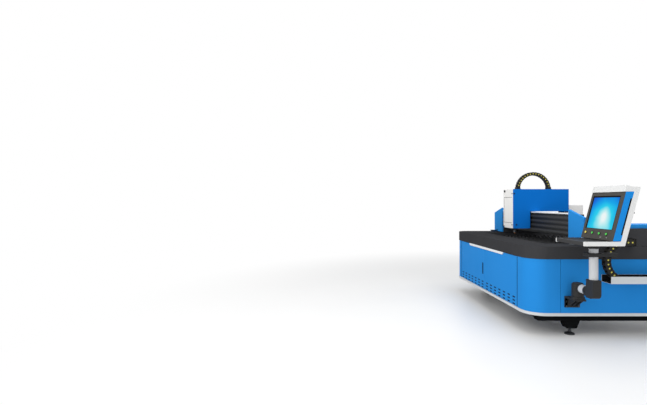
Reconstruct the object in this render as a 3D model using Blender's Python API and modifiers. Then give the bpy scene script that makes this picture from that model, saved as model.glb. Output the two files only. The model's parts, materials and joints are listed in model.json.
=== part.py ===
# Open flatbed fiber laser cutting machine: a long sheet-metal bed with a sawtooth slat table,
# a gantry that runs along it, a carriage with the cutting head that runs across the gantry,
# drag chains, and an operator console on a swivelling arm.
# Metres, +Z up, +X along the bed away from the cabinet doors, the console on the -Y side.
# The origin is on the floor, under the middle of the whole machine.

import math

import bmesh
import bpy
from mathutils import Matrix, Vector

# Overall sizes of the bed
BED_LENGTH = 4.55
BED_WIDTH = 2.45
CONSOLE_REACH = 0.55
CORNER_RADIUS = 0.20
TRIM_BOTTOM = 0.212
TRIM_HEIGHT = 0.031
SHELL_HEIGHT = 0.553
RIM_HEIGHT = 0.131
RIM_BAND_END = 0.33
RIM_BAND_SIDE = 0.324

# Sheet metal, seats and cuts
SHEET = 0.003
SEAT_GAP = 0.0003
SEAM = 0.003
PANEL_INSET = 0.006
CUT_OVERRUN = 0.02
PANEL_RETURN = 0.018
PANEL_TAPE = 0.002
SMALL_EDGE = 0.002
WELD_DISTANCE = 0.00001
TURN_WELD_DISTANCE = 0.0001
ARC_STEPS = 8
PIN_STEPS = 12
ROUND_STEPS = 24
SLOT_END_STEPS = 4
SMOOTH_LIMIT_DEG = 35
BEVEL_LIMIT_DEG = 40

# Corner panels
CORNER_LEG_END = 0.279
CORNER_LEG_SIDE = 0.33

# Cabinet doors, their pins and their vent slots
DOOR_GAP = 0.005
DOOR_END_CLEARANCE = 0.004
DOOR_DEPTH = 0.022
HINGE_POST = 0.016
HINGE_PIN_RADIUS = 0.005
HINGE_BORE_CLEARANCE = 0.0005
SLOT_COLUMNS = 7
SLOT_ROWS = 3
SLOT_PITCH_Y = 0.131
SLOT_PITCH_Z = 0.037
SLOT_LENGTH = 0.056
SLOT_HEIGHT = 0.012
SLOT_FIRST_RISE = 0.020

# Door handle
HANDLE_FROM_SEAM = 0.07
HANDLE_BOTTOM = 0.450
HANDLE_LENGTH = 0.120
HANDLE_WIDTH = 0.016
HANDLE_THICKNESS = 0.012
HANDLE_SINK = 0.001
HANDLE_POCKET_END = 0.003
HANDLE_CUP_WALL = 0.004
HANDLE_CUP_DEPTH = 0.022

# Accent strip under the rim, above the doors
STRIP_LENGTH = 1.18
STRIP_HEIGHT = 0.030
STRIP_CHAMFER = 0.030
STRIP_SINK = 0.001

# Welded frame and feet
FRAME_INSET = 0.030
BEAM_WIDTH = 0.10
LOWER_BEAM_BOTTOM = 0.150
LOWER_BEAM_HEIGHT = 0.100
LOWER_BEAM_SETBACK = 0.060
UPPER_BEAM_WIDTH = 0.200
UPPER_BEAM_BOTTOM = 0.720
POST_SIZE = 0.080
CROSS_WIDTH = 0.090
CROSS_HEIGHT = 0.080
HEADER_HEIGHT = 0.065
STATION_INSET = 0.17
FOOT_INSET = 0.48
BRACKET_TOP_WIDTH = 0.170
BRACKET_FOOT_WIDTH = 0.100
BRACKET_BOTTOM = 0.070
FOOT_PAD_RADIUS = 0.050
FOOT_PAD_HEIGHT = 0.016
FOOT_PAD_DISH = 0.010
FOOT_STEM_RADIUS = 0.012
FOOT_NUT_RADIUS = 0.020
FOOT_NUT_HEIGHT = 0.014
FOOT_STEPS = 16

# Equipment bay behind the doors
BAY_SETBACK = 0.10
BAY_DEPTH = 0.40
LASER_WIDTH = 0.62
LASER_HEIGHT = 0.20
CABINET_WIDTH = 0.78
CABINET_HEIGHT = 0.34
BAY_SIDE_CLEARANCE = 0.16
FIN_COUNT = 10
FIN_DEPTH = 0.012

# Sawtooth slat table
SLAT_TIP_DROP = 0.032
SLAT_HEIGHT = 0.100
SLAT_THICKNESS = 0.004
SLAT_PITCH = 0.140
TOOTH_PITCH = 0.115
TOOTH_DEPTH = 0.030
SLAT_END_CLEARANCE = 0.020
SLAT_RAIL_WIDTH = 0.030
SLAT_RAIL_HEIGHT = 0.050
SLAT_RAIL_LAP = 0.020

# Guide rails of the gantry
RAIL_CENTRE = 0.145
RAIL_WIDTH = 0.030
RAIL_HEIGHT = 0.028
RAIL_WAIST = 0.020
RAIL_WAIST_BOTTOM = 0.010
RAIL_WAIST_TOP = 0.018
RAIL_START = 0.50
RAIL_END_MARGIN = 0.06

# Gantry
GANTRY_FRONT = 0.595
COVER_PLATE = 0.0235
COVER_OUTER_EDGE = 0.053
COVER_INNER_EDGE = 0.336
COVER_DEPTH = 0.030
COVER_LIFT = 0.008
COVER_INNER_RISE = 0.373
COVER_OUTER_RISE = 0.293
COVER_CAP_HEIGHT = 0.040
COVER_NOTCH_CLEARANCE = 0.010
SADDLE_OUTER_EDGE = 0.006
SADDLE_LENGTH = 0.830
SADDLE_RISE = 0.181
SADDLE_WALL = 0.004
SADDLE_LIFT = 0.002
BLOCK_LENGTH = 0.120
BLOCK_WIDTH = 0.060
BLOCK_END_INSET = 0.080
RAIL_NOTCH_CLEARANCE = 0.004
BEAM_FRONT = 0.625
BEAM_REAR = 0.770
BEAM_RISE = 0.073
BEAM_HEIGHT = 0.245
RIB_COUNT = 4
RIB_PITCH = 0.056
RIB_HEIGHT = 0.018
RIB_DEPTH = 0.018
RIB_FIRST_RISE = 0.026
BEAM_CAP_WIDTH = 0.110
BEAM_CAP_HEIGHT = 0.0127
BEAM_CAP_LEAD = 0.015
LEDGE_RISE = 0.020
LEDGE_THICKNESS = 0.010
LEDGE_REACH = 0.350
LEDGE_LIP = 0.035
LEDGE_LIP_THICKNESS = 0.008

# Carriage
CARRIAGE_FROM_FAR = 1.230
CARRIAGE_WIDTH = 0.283
CARRIAGE_FRONT = 0.366
CARRIAGE_REAR = 1.100
CARRIAGE_RISE = 0.625
LEG_RISE = 0.112
OVERHANG_RISE = 0.335
LEG_REAR = 0.597
CARRIAGE_PLATE_THICKNESS = 0.035
CARRIAGE_PLATE_RAIL_WIDTH = 0.060
CARRIAGE_PLATE_RAIL_DEPTH = 0.018
CARRIAGE_PLATE_RISE = 0.012
CARRIAGE_PLATE_DROP = 0.052
COVER_THICKNESS = 0.007
COVER_WRAP = 0.060
COVER_CHAMFER = 0.035
REAR_BOX_LENGTH = 0.200
REAR_BOX_SIDE = 0.020
REAR_BOX_HEIGHT = 0.155
REAR_BOX_DROP = 0.207
REAR_BOX_EDGE = 0.008
TONGUE_HALF_WIDTH = 0.040
TONGUE_DROP = 0.062

# Cutting head
HEAD_FROM_FRONT = 0.094
HEAD_BODY_RADIUS = 0.045
HEAD_COLLAR_RADIUS = 0.050
HEAD_COLLAR_HEIGHT = 0.030
HEAD_BODY_RISE = 0.148
HEAD_BODY_HEIGHT = 0.365
HEAD_NECK_RADIUS = 0.026
HEAD_CONE_HEIGHT = 0.065
HEAD_LOWER_RADIUS = 0.018
HEAD_LOWER_LENGTH = 0.032
NOZZLE_RADIUS = 0.014
NOZZLE_TIP_RADIUS = 0.004
NOZZLE_LENGTH = 0.023
NOZZLE_COLLAR = 0.008
SMALL_ROUND_STEPS = 16
HEAD_BLOCK_WIDTH = 0.080
HEAD_BLOCK_RISE = 0.075
HEAD_BLOCK_HEIGHT = 0.250

# Drag chains
LINK_PITCH = 0.042
LINK_NECK_SHARE = 0.22
LINK_WAIST_WIDTH = 0.006
LINK_WAIST_HEIGHT = 0.004
BED_CHAIN_WIDTH = 0.060
BED_CHAIN_HEIGHT = 0.060
BED_CHAIN_OUTER_EDGE = 0.130
BED_CHAIN_LOOP_AT = 0.919
BED_CHAIN_LOOP_RADIUS = 0.188
BED_CHAIN_END_AT = 2.520
BED_CHAIN_UPPER_END_AT = 1.0027
TRAY_START = 0.750
TRAY_END_MARGIN = 0.25
TRAY_REACH = 0.145
TRAY_DROP = 0.358
TRAY_HEIGHT = 0.072
CHAIN_BRACKET_LENGTH = 0.057
CHAIN_BRACKET_WALL = 0.006
CHAIN_BRACKET_MARGIN = 0.008
BEAM_CHAIN_WIDTH = 0.050
BEAM_CHAIN_HEIGHT = 0.035
BEAM_CHAIN_LOOP_RADIUS = 0.080
BEAM_CHAIN_LOOP_LEAD = 0.3585
BEAM_CHAIN_PITCH = 0.035
HEAD_CHAIN_CENTRE = 0.650
HEAD_CHAIN_RADIUS = 0.200
HEAD_CHAIN_HEIGHT = 0.045
HEAD_CHAIN_WIDTH = 0.050
HEAD_CHAIN_FROM_NEAR = 0.015

# Console arm
ARM_AT = 0.445
BRACKET_PLATE_WIDTH = 0.154
BRACKET_PLATE_BOTTOM = 0.305
BRACKET_PLATE_HEIGHT = 0.115
BRACKET_PLATE_THICKNESS = 0.014
SHELF_THICKNESS = 0.018
SHELF_REACH = 0.165
SHELF_TAPER = 0.030
GUSSET_COUNT = 3
GUSSET_THICKNESS = 0.010
BOSS_RADIUS = 0.064
BOSS_HEIGHT = 0.024
BOSS_EDGE = 0.008
ARM_AXIS_OUT = 0.100
KNUCKLE_RADIUS = 0.056
KNUCKLE_HEIGHT = 0.134
KNUCKLE_EDGE = 0.014
KNUCKLE_SOCKET = 0.030
ARM_TUBE_RADIUS = 0.042
ARM_TUBE_RISE = 0.086
ARM_TUBE_END = 0.275
ELBOW_WIDTH = 0.080
ELBOW_REAR = 0.410
ELBOW_DROP = 0.055
ELBOW_THROAT = 0.043
ELBOW_TOP = 0.650
ELBOW_RADIUS = 0.045
POLE_OUT = 0.355
POLE_RADIUS = 0.038
POLE_TOP = 0.868
POLE_PLATE_WIDTH = 0.100
POLE_PLATE_LEAD = 0.075
POLE_PLATE_REACH = 0.197
POLE_PLATE_HEIGHT = 0.035
PLATE_EDGE = 0.008
NECK_RADIUS = 0.045
NECK_WAIST_RADIUS = 0.040
NECK_STEP_HEIGHT = 0.041

# Console head
CONSOLE_WIDTH = 0.477
CONSOLE_FOOT_BOTTOM = 0.984
CONSOLE_BAR_HEIGHT = 0.041
CONSOLE_BAR_FRONT = 0.240
CONSOLE_CHEEK = 0.015
CONSOLE_FACE_AT = 0.492
CONSOLE_FACE_BOTTOM = 1.029
CONSOLE_FACE_TOP = 1.475
CONSOLE_LEAN_DEG = 14.94
CONSOLE_BODY_DEPTH = 0.077
CONSOLE_BACK_DEPTH = 0.050
CONSOLE_CAP_LEAD = 0.008
CONSOLE_CAP_FRONT_RISE = 0.061
CONSOLE_CAP_MID_RISE = 0.046
CONSOLE_CAP_REAR_RISE = 0.042
CONSOLE_CAP_BREAK = 0.058
BEZEL_DEPTH = 0.006
SCREEN_BOTTOM = 1.129
SCREEN_TOP = 1.425
SCREEN_SIDE_MARGIN = 0.050
SCREEN_SINK = 0.002
SCREEN_CLEARANCE = 0.0003
GROOVE_WIDTH = 0.009
GROOVE_DEPTH = 0.010
GROOVE_FROM_REAR = 0.008
GROOVE_BOTTOM = 1.083
GROOVE_TOP = 1.414
BACK_BOX_BOTTOM = 1.100
BACK_BOX_TOP = 1.420
BACK_BOX_DEPTH = 0.045
BACK_BOX_SLOPE = 0.060
BACK_BOX_SIDE = 0.090
KEY_TRAY_SINK = 0.003
KEY_RECESS_MARGIN = 0.030
KEY_RECESS_DEPTH = 0.008
BUTTON_RADIUS = 0.011
BUTTON_PROUD = 0.007
BUTTON_SUNK = 0.0025
BUTTON_HEIGHT = 1.085
BUTTON_FROM_FAR = 0.060
BUTTON_PITCH = 0.104

# Levels and edges worked out from the sizes above
SHELL_BOTTOM = TRIM_BOTTOM + TRIM_HEIGHT
SHELL_TOP = SHELL_BOTTOM + SHELL_HEIGHT
RIM_TOP = SHELL_TOP + RIM_HEIGHT
END_X = -BED_LENGTH / 2
REAR_X = BED_LENGTH / 2
NEAR_Y = (CONSOLE_REACH - BED_WIDTH) / 2
FAR_Y = NEAR_Y + BED_WIDTH
FRAME_TOP = RIM_TOP - SHEET - SEAT_GAP
TRIM_DEPTH = FRAME_INSET - SEAT_GAP
UPPER_BEAM_SETBACK = PANEL_INSET + PANEL_RETURN + PANEL_TAPE + SEAT_GAP
LOWER_BEAM_TOP = LOWER_BEAM_BOTTOM + LOWER_BEAM_HEIGHT
RAIL_BASE = RIM_TOP + SEAT_GAP
RAIL_TOP = RAIL_BASE + RAIL_HEIGHT
SLAT_TOP = RIM_TOP - SLAT_TIP_DROP
SLAT_BOTTOM = SLAT_TOP - SLAT_HEIGHT
SLAT_RAIL_BOTTOM = SLAT_BOTTOM + SLAT_RAIL_LAP - SLAT_RAIL_HEIGHT
SADDLE_FRONT = GANTRY_FRONT + COVER_PLATE + SEAT_GAP
SADDLE_BOTTOM = RIM_TOP + SADDLE_LIFT
SADDLE_TOP = RIM_TOP + SADDLE_RISE
COVER_BOTTOM = RIM_TOP + COVER_LIFT
COVER_INNER_TOP = RIM_TOP + COVER_INNER_RISE
COVER_OUTER_TOP = RIM_TOP + COVER_OUTER_RISE
BEAM_BOTTOM = RIM_TOP + BEAM_RISE
BEAM_TOP = BEAM_BOTTOM + BEAM_HEIGHT
CARRIAGE_TOP = RIM_TOP + CARRIAGE_RISE
LEG_BOTTOM = RIM_TOP + LEG_RISE
OVERHANG_BOTTOM = RIM_TOP + OVERHANG_RISE
CARRIAGE_PLATE_TOP = CARRIAGE_TOP - CARRIAGE_PLATE_DROP
REAR_BOX_TOP = CARRIAGE_TOP - REAR_BOX_DROP
HEAD_BODY_BOTTOM = RIM_TOP + HEAD_BODY_RISE
TRAY_BOTTOM = RIM_TOP - TRAY_DROP
CARRIAGE_NEAR = BED_WIDTH - CARRIAGE_FROM_FAR
CARRIAGE_FAR = CARRIAGE_NEAR + CARRIAGE_WIDTH
HEAD_ACROSS = CARRIAGE_NEAR + CARRIAGE_WIDTH / 2
CONSOLE_SLOPE = math.tan(math.radians(CONSOLE_LEAN_DEG))
CONSOLE_NEAR = -CONSOLE_REACH
CONSOLE_FAR = CONSOLE_NEAR + CONSOLE_WIDTH
CONSOLE_BAR_TOP = CONSOLE_FOOT_BOTTOM + CONSOLE_BAR_HEIGHT

# Colours as linear RGB, with roughness and metallic share
PAINTS = {
    "blue": ((0.030, 0.245, 0.665), 0.35, 0.0),
    "deep_blue": ((0.012, 0.125, 0.470), 0.38, 0.0),
    "black": ((0.045, 0.046, 0.050), 0.50, 0.0),
    "white": ((0.80, 0.80, 0.79), 0.40, 0.0),
    "light_grey": ((0.55, 0.57, 0.59), 0.42, 0.0),
    "plastic": ((0.020, 0.020, 0.022), 0.50, 0.0),
    "steel": ((0.42, 0.43, 0.44), 0.35, 1.0),
    "dark_steel": ((0.10, 0.10, 0.11), 0.50, 1.0),
    "brass": ((0.70, 0.42, 0.18), 0.30, 1.0),
    "screen": ((0.05, 0.45, 0.75), 0.15, 0.0),
    "yellow": ((0.80, 0.60, 0.05), 0.35, 0.0),
    "green": ((0.03, 0.45, 0.06), 0.35, 0.0),
}

TO_Y = Matrix(((1, 0, 0, 0), (0, 0, -1, 0), (0, 1, 0, 0), (0, 0, 0, 1)))
TO_X = Matrix(((0, 0, 1, 0), (1, 0, 0, 0), (0, 1, 0, 0), (0, 0, 0, 1)))
TURNS = {"X": TO_X, "Y": TO_Y, "Z": Matrix.Identity(4)}
ALONG = {"X": Vector((1, 0, 0)), "Y": Vector((0, 1, 0)), "Z": Vector((0, 0, 1))}


def clear_scene():
    for thing in list(bpy.data.objects):
        bpy.data.objects.remove(thing)


def make_collection(name):
    group = bpy.data.collections.new(name)
    bpy.context.scene.collection.children.link(group)
    return group


clear_scene()
MODEL = make_collection("fiber_laser_cutter")
CUTTERS = make_collection("cutters")


def paint(name):
    """A Principled material for one finish, made once."""
    if name in bpy.data.materials:
        return bpy.data.materials[name]
    colour, roughness, metallic = PAINTS[name]
    material = bpy.data.materials.new(name)
    material.use_nodes = True
    shader = material.node_tree.nodes["Principled BSDF"]
    shader.inputs["Base Color"].default_value = (*colour, 1.0)
    shader.inputs["Roughness"].default_value = roughness
    shader.inputs["Metallic"].default_value = metallic
    material.diffuse_color = (*colour, 1.0)
    return material


def add_object(name, mesh, finish=None):
    """A new object in the model, or in the cutters when it has no finish."""
    thing = bpy.data.objects.new(name, mesh)
    if finish:
        own = paint(finish).copy()
        own.name = name
        mesh.materials.append(own)
        MODEL.objects.link(thing)
    else:
        CUTTERS.objects.link(thing)
        thing.hide_render = True
        thing.display_type = "WIRE"
    return thing


def box(name, low, high, finish=None):
    """A block between two corners."""
    mesh = bpy.data.meshes.new(name)
    shape = bmesh.new()
    bmesh.ops.create_cube(shape, size=1)
    low, high = Vector(low), Vector(high)
    size, middle = high - low, (low + high) / 2
    bmesh.ops.scale(shape, vec=size, verts=shape.verts)
    bmesh.ops.translate(shape, vec=middle, verts=shape.verts)
    shape.to_mesh(mesh)
    shape.free()
    return add_object(name, mesh, finish)


def boxes(name, corner_pairs):
    """Several blocks in one mesh, to be joined to another by a union."""
    mesh = bpy.data.meshes.new(name)
    shape = bmesh.new()
    for low, high in corner_pairs:
        low, high = Vector(low), Vector(high)
        made = bmesh.ops.create_cube(shape, size=1)["verts"]
        bmesh.ops.scale(shape, vec=high - low, verts=made)
        bmesh.ops.translate(shape, vec=(low + high) / 2, verts=made)
    shape.to_mesh(mesh)
    shape.free()
    return add_object(name, mesh)


def prism(name, outlines, axis, low, high, finish=None):
    """Flat outlines, the second and later ones as holes or islands, drawn out along an axis.

    Points are (y, z) along X, (x, z) along Y and (x, y) along Z."""
    curve = bpy.data.curves.new(name, "CURVE")
    curve.dimensions = "2D"
    curve.fill_mode = "BOTH"
    curve.extrude = (high - low) / 2
    for outline in outlines:
        spline = curve.splines.new("POLY")
        spline.points.add(len(outline) - 1)
        for point, (across, up) in zip(spline.points, outline):
            point.co = (across, up, 0, 1)
        spline.use_cyclic_u = True
    drawn = bpy.data.objects.new(name + "_outline", curve)
    bpy.context.scene.collection.objects.link(drawn)
    bpy.context.view_layer.update()
    evaluated = drawn.evaluated_get(bpy.context.evaluated_depsgraph_get())
    mesh = bpy.data.meshes.new_from_object(evaluated)
    bpy.data.objects.remove(drawn)
    bpy.data.curves.remove(curve)
    mesh.materials.clear()
    mesh.transform(Matrix.Translation((low + high) / 2 * ALONG[axis]) @ TURNS[axis])
    shape = bmesh.new()
    shape.from_mesh(mesh)
    bmesh.ops.remove_doubles(shape, verts=shape.verts, dist=WELD_DISTANCE)
    bmesh.ops.recalc_face_normals(shape, faces=shape.faces)
    shape.to_mesh(mesh)
    shape.free()
    return add_object(name, mesh, finish)


def rod(name, centre, radius, length, axis, steps, finish=None):
    """A round bar along an axis."""
    mesh = bpy.data.meshes.new(name)
    shape = bmesh.new()
    bmesh.ops.create_cone(
        shape, cap_ends=True, segments=steps, radius1=radius, radius2=radius, depth=length
    )
    shape.to_mesh(mesh)
    shape.free()
    mesh.transform(Matrix.Translation(centre) @ TURNS[axis])
    smooth(mesh)
    return add_object(name, mesh, finish)


def turned(name, centre, profile, finish=None, steps=ROUND_STEPS):
    """A profile of (radius, height) points, top to bottom, turned about an upright axis."""
    mesh = bpy.data.meshes.new(name)
    points = [(radius, 0, height) for radius, height in profile]
    edges = [(index, index + 1) for index in range(len(points) - 1)]
    mesh.from_pydata(points, edges, [])
    thing = add_object(name, mesh, finish)
    thing.location = centre
    screw = thing.modifiers.new("turn", "SCREW")
    screw.steps = steps
    screw.render_steps = steps
    screw.use_merge_vertices = True
    screw.merge_threshold = TURN_WELD_DISTANCE
    screw.use_smooth_shade = True
    return thing


def smooth(mesh):
    mesh.shade_smooth()
    mesh.set_sharp_from_angle(angle=math.radians(SMOOTH_LIMIT_DEG))


def join_or_cut(thing, other, operation):
    step = thing.modifiers.new(operation.lower(), "BOOLEAN")
    step.operation = operation
    step.object = other
    step.solver = "EXACT"
    return step


def cut(thing, *cutters):
    for cutter in cutters:
        join_or_cut(thing, cutter, "DIFFERENCE")
    return thing


def fuse(thing, *others, overlapping=False):
    for other in others:
        join_or_cut(thing, other, "UNION").use_self = overlapping
    return thing


def soften(thing, width, segments=2):
    """Broken edges on a plain block or prism."""
    bevel = thing.modifiers.new("edge", "BEVEL")
    bevel.width = width
    bevel.segments = segments
    bevel.limit_method = "ANGLE"
    bevel.angle_limit = math.radians(BEVEL_LIMIT_DEG)
    return thing


def arc(centre, radius, start, end, steps):
    """Points on an arc, angles in degrees."""
    points = []
    for index in range(steps + 1):
        angle = math.radians(start + (end - start) * index / steps)
        points.append((centre[0] + radius * math.cos(angle), centre[1] + radius * math.sin(angle)))
    return points


def rounded_plan(inset, radius):
    """The bed's outline seen from above, a distance inside its edge."""
    low_x, high_x = END_X + inset, REAR_X - inset
    low_y, high_y = NEAR_Y + inset, FAR_Y - inset
    corners = (
        (low_x + radius, low_y + radius, 180),
        (high_x - radius, low_y + radius, 270),
        (high_x - radius, high_y - radius, 0),
        (low_x + radius, high_y - radius, 90),
    )
    outline = []
    for centre_x, centre_y, start in corners:
        outline += arc((centre_x, centre_y), radius, start, start + 90, ARC_STEPS)
    return outline


def opening_plan(margin):
    """The work opening in the rim, enlarged by a margin."""
    low_x, high_x = END_X + RIM_BAND_END - margin, REAR_X - RIM_BAND_END + margin
    low_y, high_y = NEAR_Y + RIM_BAND_SIDE - margin, FAR_Y - RIM_BAND_SIDE + margin
    return [(low_x, low_y), (high_x, low_y), (high_x, high_y), (low_x, high_y)]


def make_rim():
    """Black cover round the work opening: outer wall, flat top and inner lip, open below."""
    rim = prism(
        "rim_cover",
        [rounded_plan(0, CORNER_RADIUS), opening_plan(0)],
        "Z", SHELL_TOP, RIM_TOP, "black",
    )
    hollow = prism(
        "rim_hollow",
        [rounded_plan(SHEET, CORNER_RADIUS - SHEET), opening_plan(SHEET)],
        "Z", SHELL_TOP - CUT_OVERRUN, RIM_TOP - SHEET,
    )
    return cut(rim, hollow)


def make_base_trim():
    inner_radius = CORNER_RADIUS - TRIM_DEPTH
    return prism(
        "base_trim",
        [rounded_plan(0, CORNER_RADIUS), rounded_plan(TRIM_DEPTH, inner_radius)],
        "Z", TRIM_BOTTOM, SHELL_BOTTOM, "light_grey",
    )


PANEL_LOW = SHELL_BOTTOM + SEAT_GAP
PANEL_HIGH = SHELL_TOP - SEAT_GAP


def make_corner(name, along, across):
    """One rounded corner sheet; the signs say which corner of the bed it closes."""
    radius = CORNER_RADIUS - PANEL_INSET
    centre = (CORNER_RADIUS, CORNER_RADIUS)
    outside = [(PANEL_INSET, CORNER_LEG_END)]
    outside += arc(centre, radius, 180, 270, ARC_STEPS)
    outside.append((CORNER_LEG_SIDE, PANEL_INSET))
    inside = [(CORNER_LEG_SIDE, PANEL_INSET + SHEET)]
    inside += arc(centre, radius - SHEET, 270, 180, ARC_STEPS)
    inside.append((PANEL_INSET + SHEET, CORNER_LEG_END))
    corner_x = END_X if along > 0 else REAR_X
    corner_y = NEAR_Y if across > 0 else FAR_Y
    outline = [(corner_x + along * x, corner_y + across * y) for x, y in outside + inside]
    return prism(name, [outline], "Z", PANEL_LOW, PANEL_HIGH, "blue")


def folded_outline(face, inward):
    """Section of a flat panel with its upper and lower edges folded in."""
    back = face + inward * SHEET
    turn = face + inward * PANEL_RETURN
    return [
        (face, PANEL_LOW), (face, PANEL_HIGH), (turn, PANEL_HIGH),
        (turn, PANEL_HIGH - SHEET), (back, PANEL_HIGH - SHEET),
        (back, PANEL_LOW + SHEET), (turn, PANEL_LOW + SHEET), (turn, PANEL_LOW),
    ]


def make_panels():
    low_x = END_X + CORNER_LEG_SIDE + SEAM
    high_x = REAR_X - CORNER_LEG_SIDE - SEAM
    near = folded_outline(NEAR_Y + PANEL_INSET, 1)
    far = folded_outline(FAR_Y - PANEL_INSET, -1)
    prism("side_panel_near", [near], "X", low_x, high_x, "blue")
    prism("side_panel_far", [far], "X", low_x, high_x, "blue")
    low_y = NEAR_Y + CORNER_LEG_END + SEAM
    high_y = FAR_Y - CORNER_LEG_END - SEAM
    rear = folded_outline(REAR_X - PANEL_INSET, -1)
    prism("rear_panel", [rear], "Y", low_y, high_y, "blue")
    make_corner("corner_front_near", 1, 1)
    make_corner("corner_front_far", 1, -1)
    make_corner("corner_rear_near", -1, 1)
    make_corner("corner_rear_far", -1, -1)


def strip_outline(margin):
    """Accent strip seen from the end, wider at the top, enlarged by a margin."""
    middle = NEAR_Y + BED_WIDTH / 2
    half = STRIP_LENGTH / 2 + margin
    bottom = SHELL_TOP - STRIP_HEIGHT - margin
    return [
        (middle - half, PANEL_HIGH), (middle - half + STRIP_CHAMFER, bottom),
        (middle + half - STRIP_CHAMFER, bottom), (middle + half, PANEL_HIGH),
    ]


DOOR_LOW = SHELL_BOTTOM + DOOR_END_CLEARANCE
DOOR_HIGH = SHELL_TOP - DOOR_END_CLEARANCE
HINGE_X = END_X + PANEL_INSET + HINGE_POST / 2
HINGE_FROM_SIDE = CORNER_LEG_END + DOOR_GAP + HINGE_POST / 2


def slot_outline(centre_y, centre_z):
    """One vent slot with round ends, seen from the end of the bed."""
    reach = (SLOT_LENGTH - SLOT_HEIGHT) / 2
    right = arc((centre_y + reach, centre_z), SLOT_HEIGHT / 2, -90, 90, SLOT_END_STEPS)
    left = arc((centre_y - reach, centre_z), SLOT_HEIGHT / 2, 90, 270, SLOT_END_STEPS)
    return right + left


def slot_cutter(name, middle_y):
    outlines = []
    for column in range(SLOT_COLUMNS):
        y = middle_y + (column - (SLOT_COLUMNS - 1) / 2) * SLOT_PITCH_Y
        for row in range(SLOT_ROWS):
            z = SHELL_BOTTOM + SLOT_FIRST_RISE + row * SLOT_PITCH_Z
            outlines.append(slot_outline(y, z))
    low = END_X + PANEL_INSET - CUT_OVERRUN
    return prism(name, outlines, "X", low, END_X + PANEL_INSET + CUT_OVERRUN)


def make_door(name, side_y, across, pin_name):
    """A cabinet door: outer sheet, folded closing edge and the hinge post with its bore."""
    outer = END_X + PANEL_INSET
    hinge_edge = CORNER_LEG_END + DOOR_GAP
    close_edge = (BED_WIDTH - SEAM) / 2
    plan = [
        (outer, hinge_edge), (outer, close_edge), (outer + DOOR_DEPTH, close_edge),
        (outer + DOOR_DEPTH, close_edge - SHEET), (outer + SHEET, close_edge - SHEET),
        (outer + SHEET, hinge_edge + HINGE_POST), (outer + HINGE_POST, hinge_edge + HINGE_POST),
        (outer + HINGE_POST, hinge_edge),
    ]
    outline = [(x, side_y + across * y) for x, y in plan]
    door = prism(name, [outline], "Z", DOOR_LOW, DOOR_HIGH, "blue")
    axis_y = side_y + across * HINGE_FROM_SIDE
    middle = Vector((HINGE_X, axis_y, (PANEL_LOW + PANEL_HIGH) / 2))
    bore_radius = HINGE_PIN_RADIUS + HINGE_BORE_CLEARANCE
    bore = rod(name + "_bore", middle, bore_radius, SHELL_HEIGHT + CUT_OVERRUN, "Z", PIN_STEPS)
    rod(pin_name, middle, HINGE_PIN_RADIUS, PANEL_HIGH - PANEL_LOW, "Z", PIN_STEPS, "steel")
    slots = slot_cutter(name + "_slots", side_y + across * (hinge_edge + close_edge) / 2)
    notch = prism(
        name + "_notch", [strip_outline(SEAM)], "X",
        END_X - CUT_OVERRUN, END_X + PANEL_INSET + DOOR_DEPTH + CUT_OVERRUN,
    )
    return cut(door, bore, slots, notch)


def make_doors():
    make_door("door_near", NEAR_Y, 1, "hinge_pin_near")
    far = make_door("door_far", FAR_Y, -1, "hinge_pin_far")
    middle_y = NEAR_Y + BED_WIDTH / 2 + HANDLE_FROM_SEAM
    outer = END_X + PANEL_INSET
    half = HANDLE_WIDTH / 2 + SEAT_GAP
    low_z = HANDLE_BOTTOM - HANDLE_POCKET_END
    high_z = HANDLE_BOTTOM + HANDLE_LENGTH + HANDLE_POCKET_END
    wall = half + HANDLE_CUP_WALL
    cup = box(
        "handle_cup",
        (outer + SHEET / 2, middle_y - wall, low_z - HANDLE_CUP_WALL),
        (outer + HANDLE_CUP_DEPTH, middle_y + wall, high_z + HANDLE_CUP_WALL),
    )
    pocket = box(
        "handle_pocket",
        (outer - CUT_OVERRUN, middle_y - half, low_z),
        (outer + HANDLE_CUP_DEPTH - HANDLE_CUP_WALL, middle_y + half, high_z),
    )
    fuse(far, cup)
    cut(far, pocket)
    face = outer + HANDLE_SINK
    top = HANDLE_BOTTOM + HANDLE_LENGTH
    grip_foot = HANDLE_BOTTOM + HANDLE_THICKNESS
    profile = [
        (face, HANDLE_BOTTOM), (face + HANDLE_THICKNESS / 2, HANDLE_BOTTOM),
        (face + HANDLE_THICKNESS, grip_foot), (face + HANDLE_THICKNESS, top), (face, top),
    ]
    low_y, high_y = middle_y - HANDLE_WIDTH / 2, middle_y + HANDLE_WIDTH / 2
    prism("door_handle", [profile], "Y", low_y, high_y, "plastic")


def make_front_trim():
    back = END_X + FRAME_INSET - SEAT_GAP
    return prism("front_trim", [strip_outline(0)], "X", END_X + STRIP_SINK, back, "white")


def stations():
    """Places of the cross members along the bed, the second and fourth over the feet."""
    ends = (END_X + STATION_INSET, END_X + FOOT_INSET)
    return [ends[0], ends[1], 0, -ends[1], -ends[0]]


def side_places(setback, width):
    """The y limits of a long member at the near side and at the far side."""
    near = (NEAR_Y + setback, NEAR_Y + setback + width)
    far = (FAR_Y - setback - width, FAR_Y - setback)
    return near, far


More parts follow.
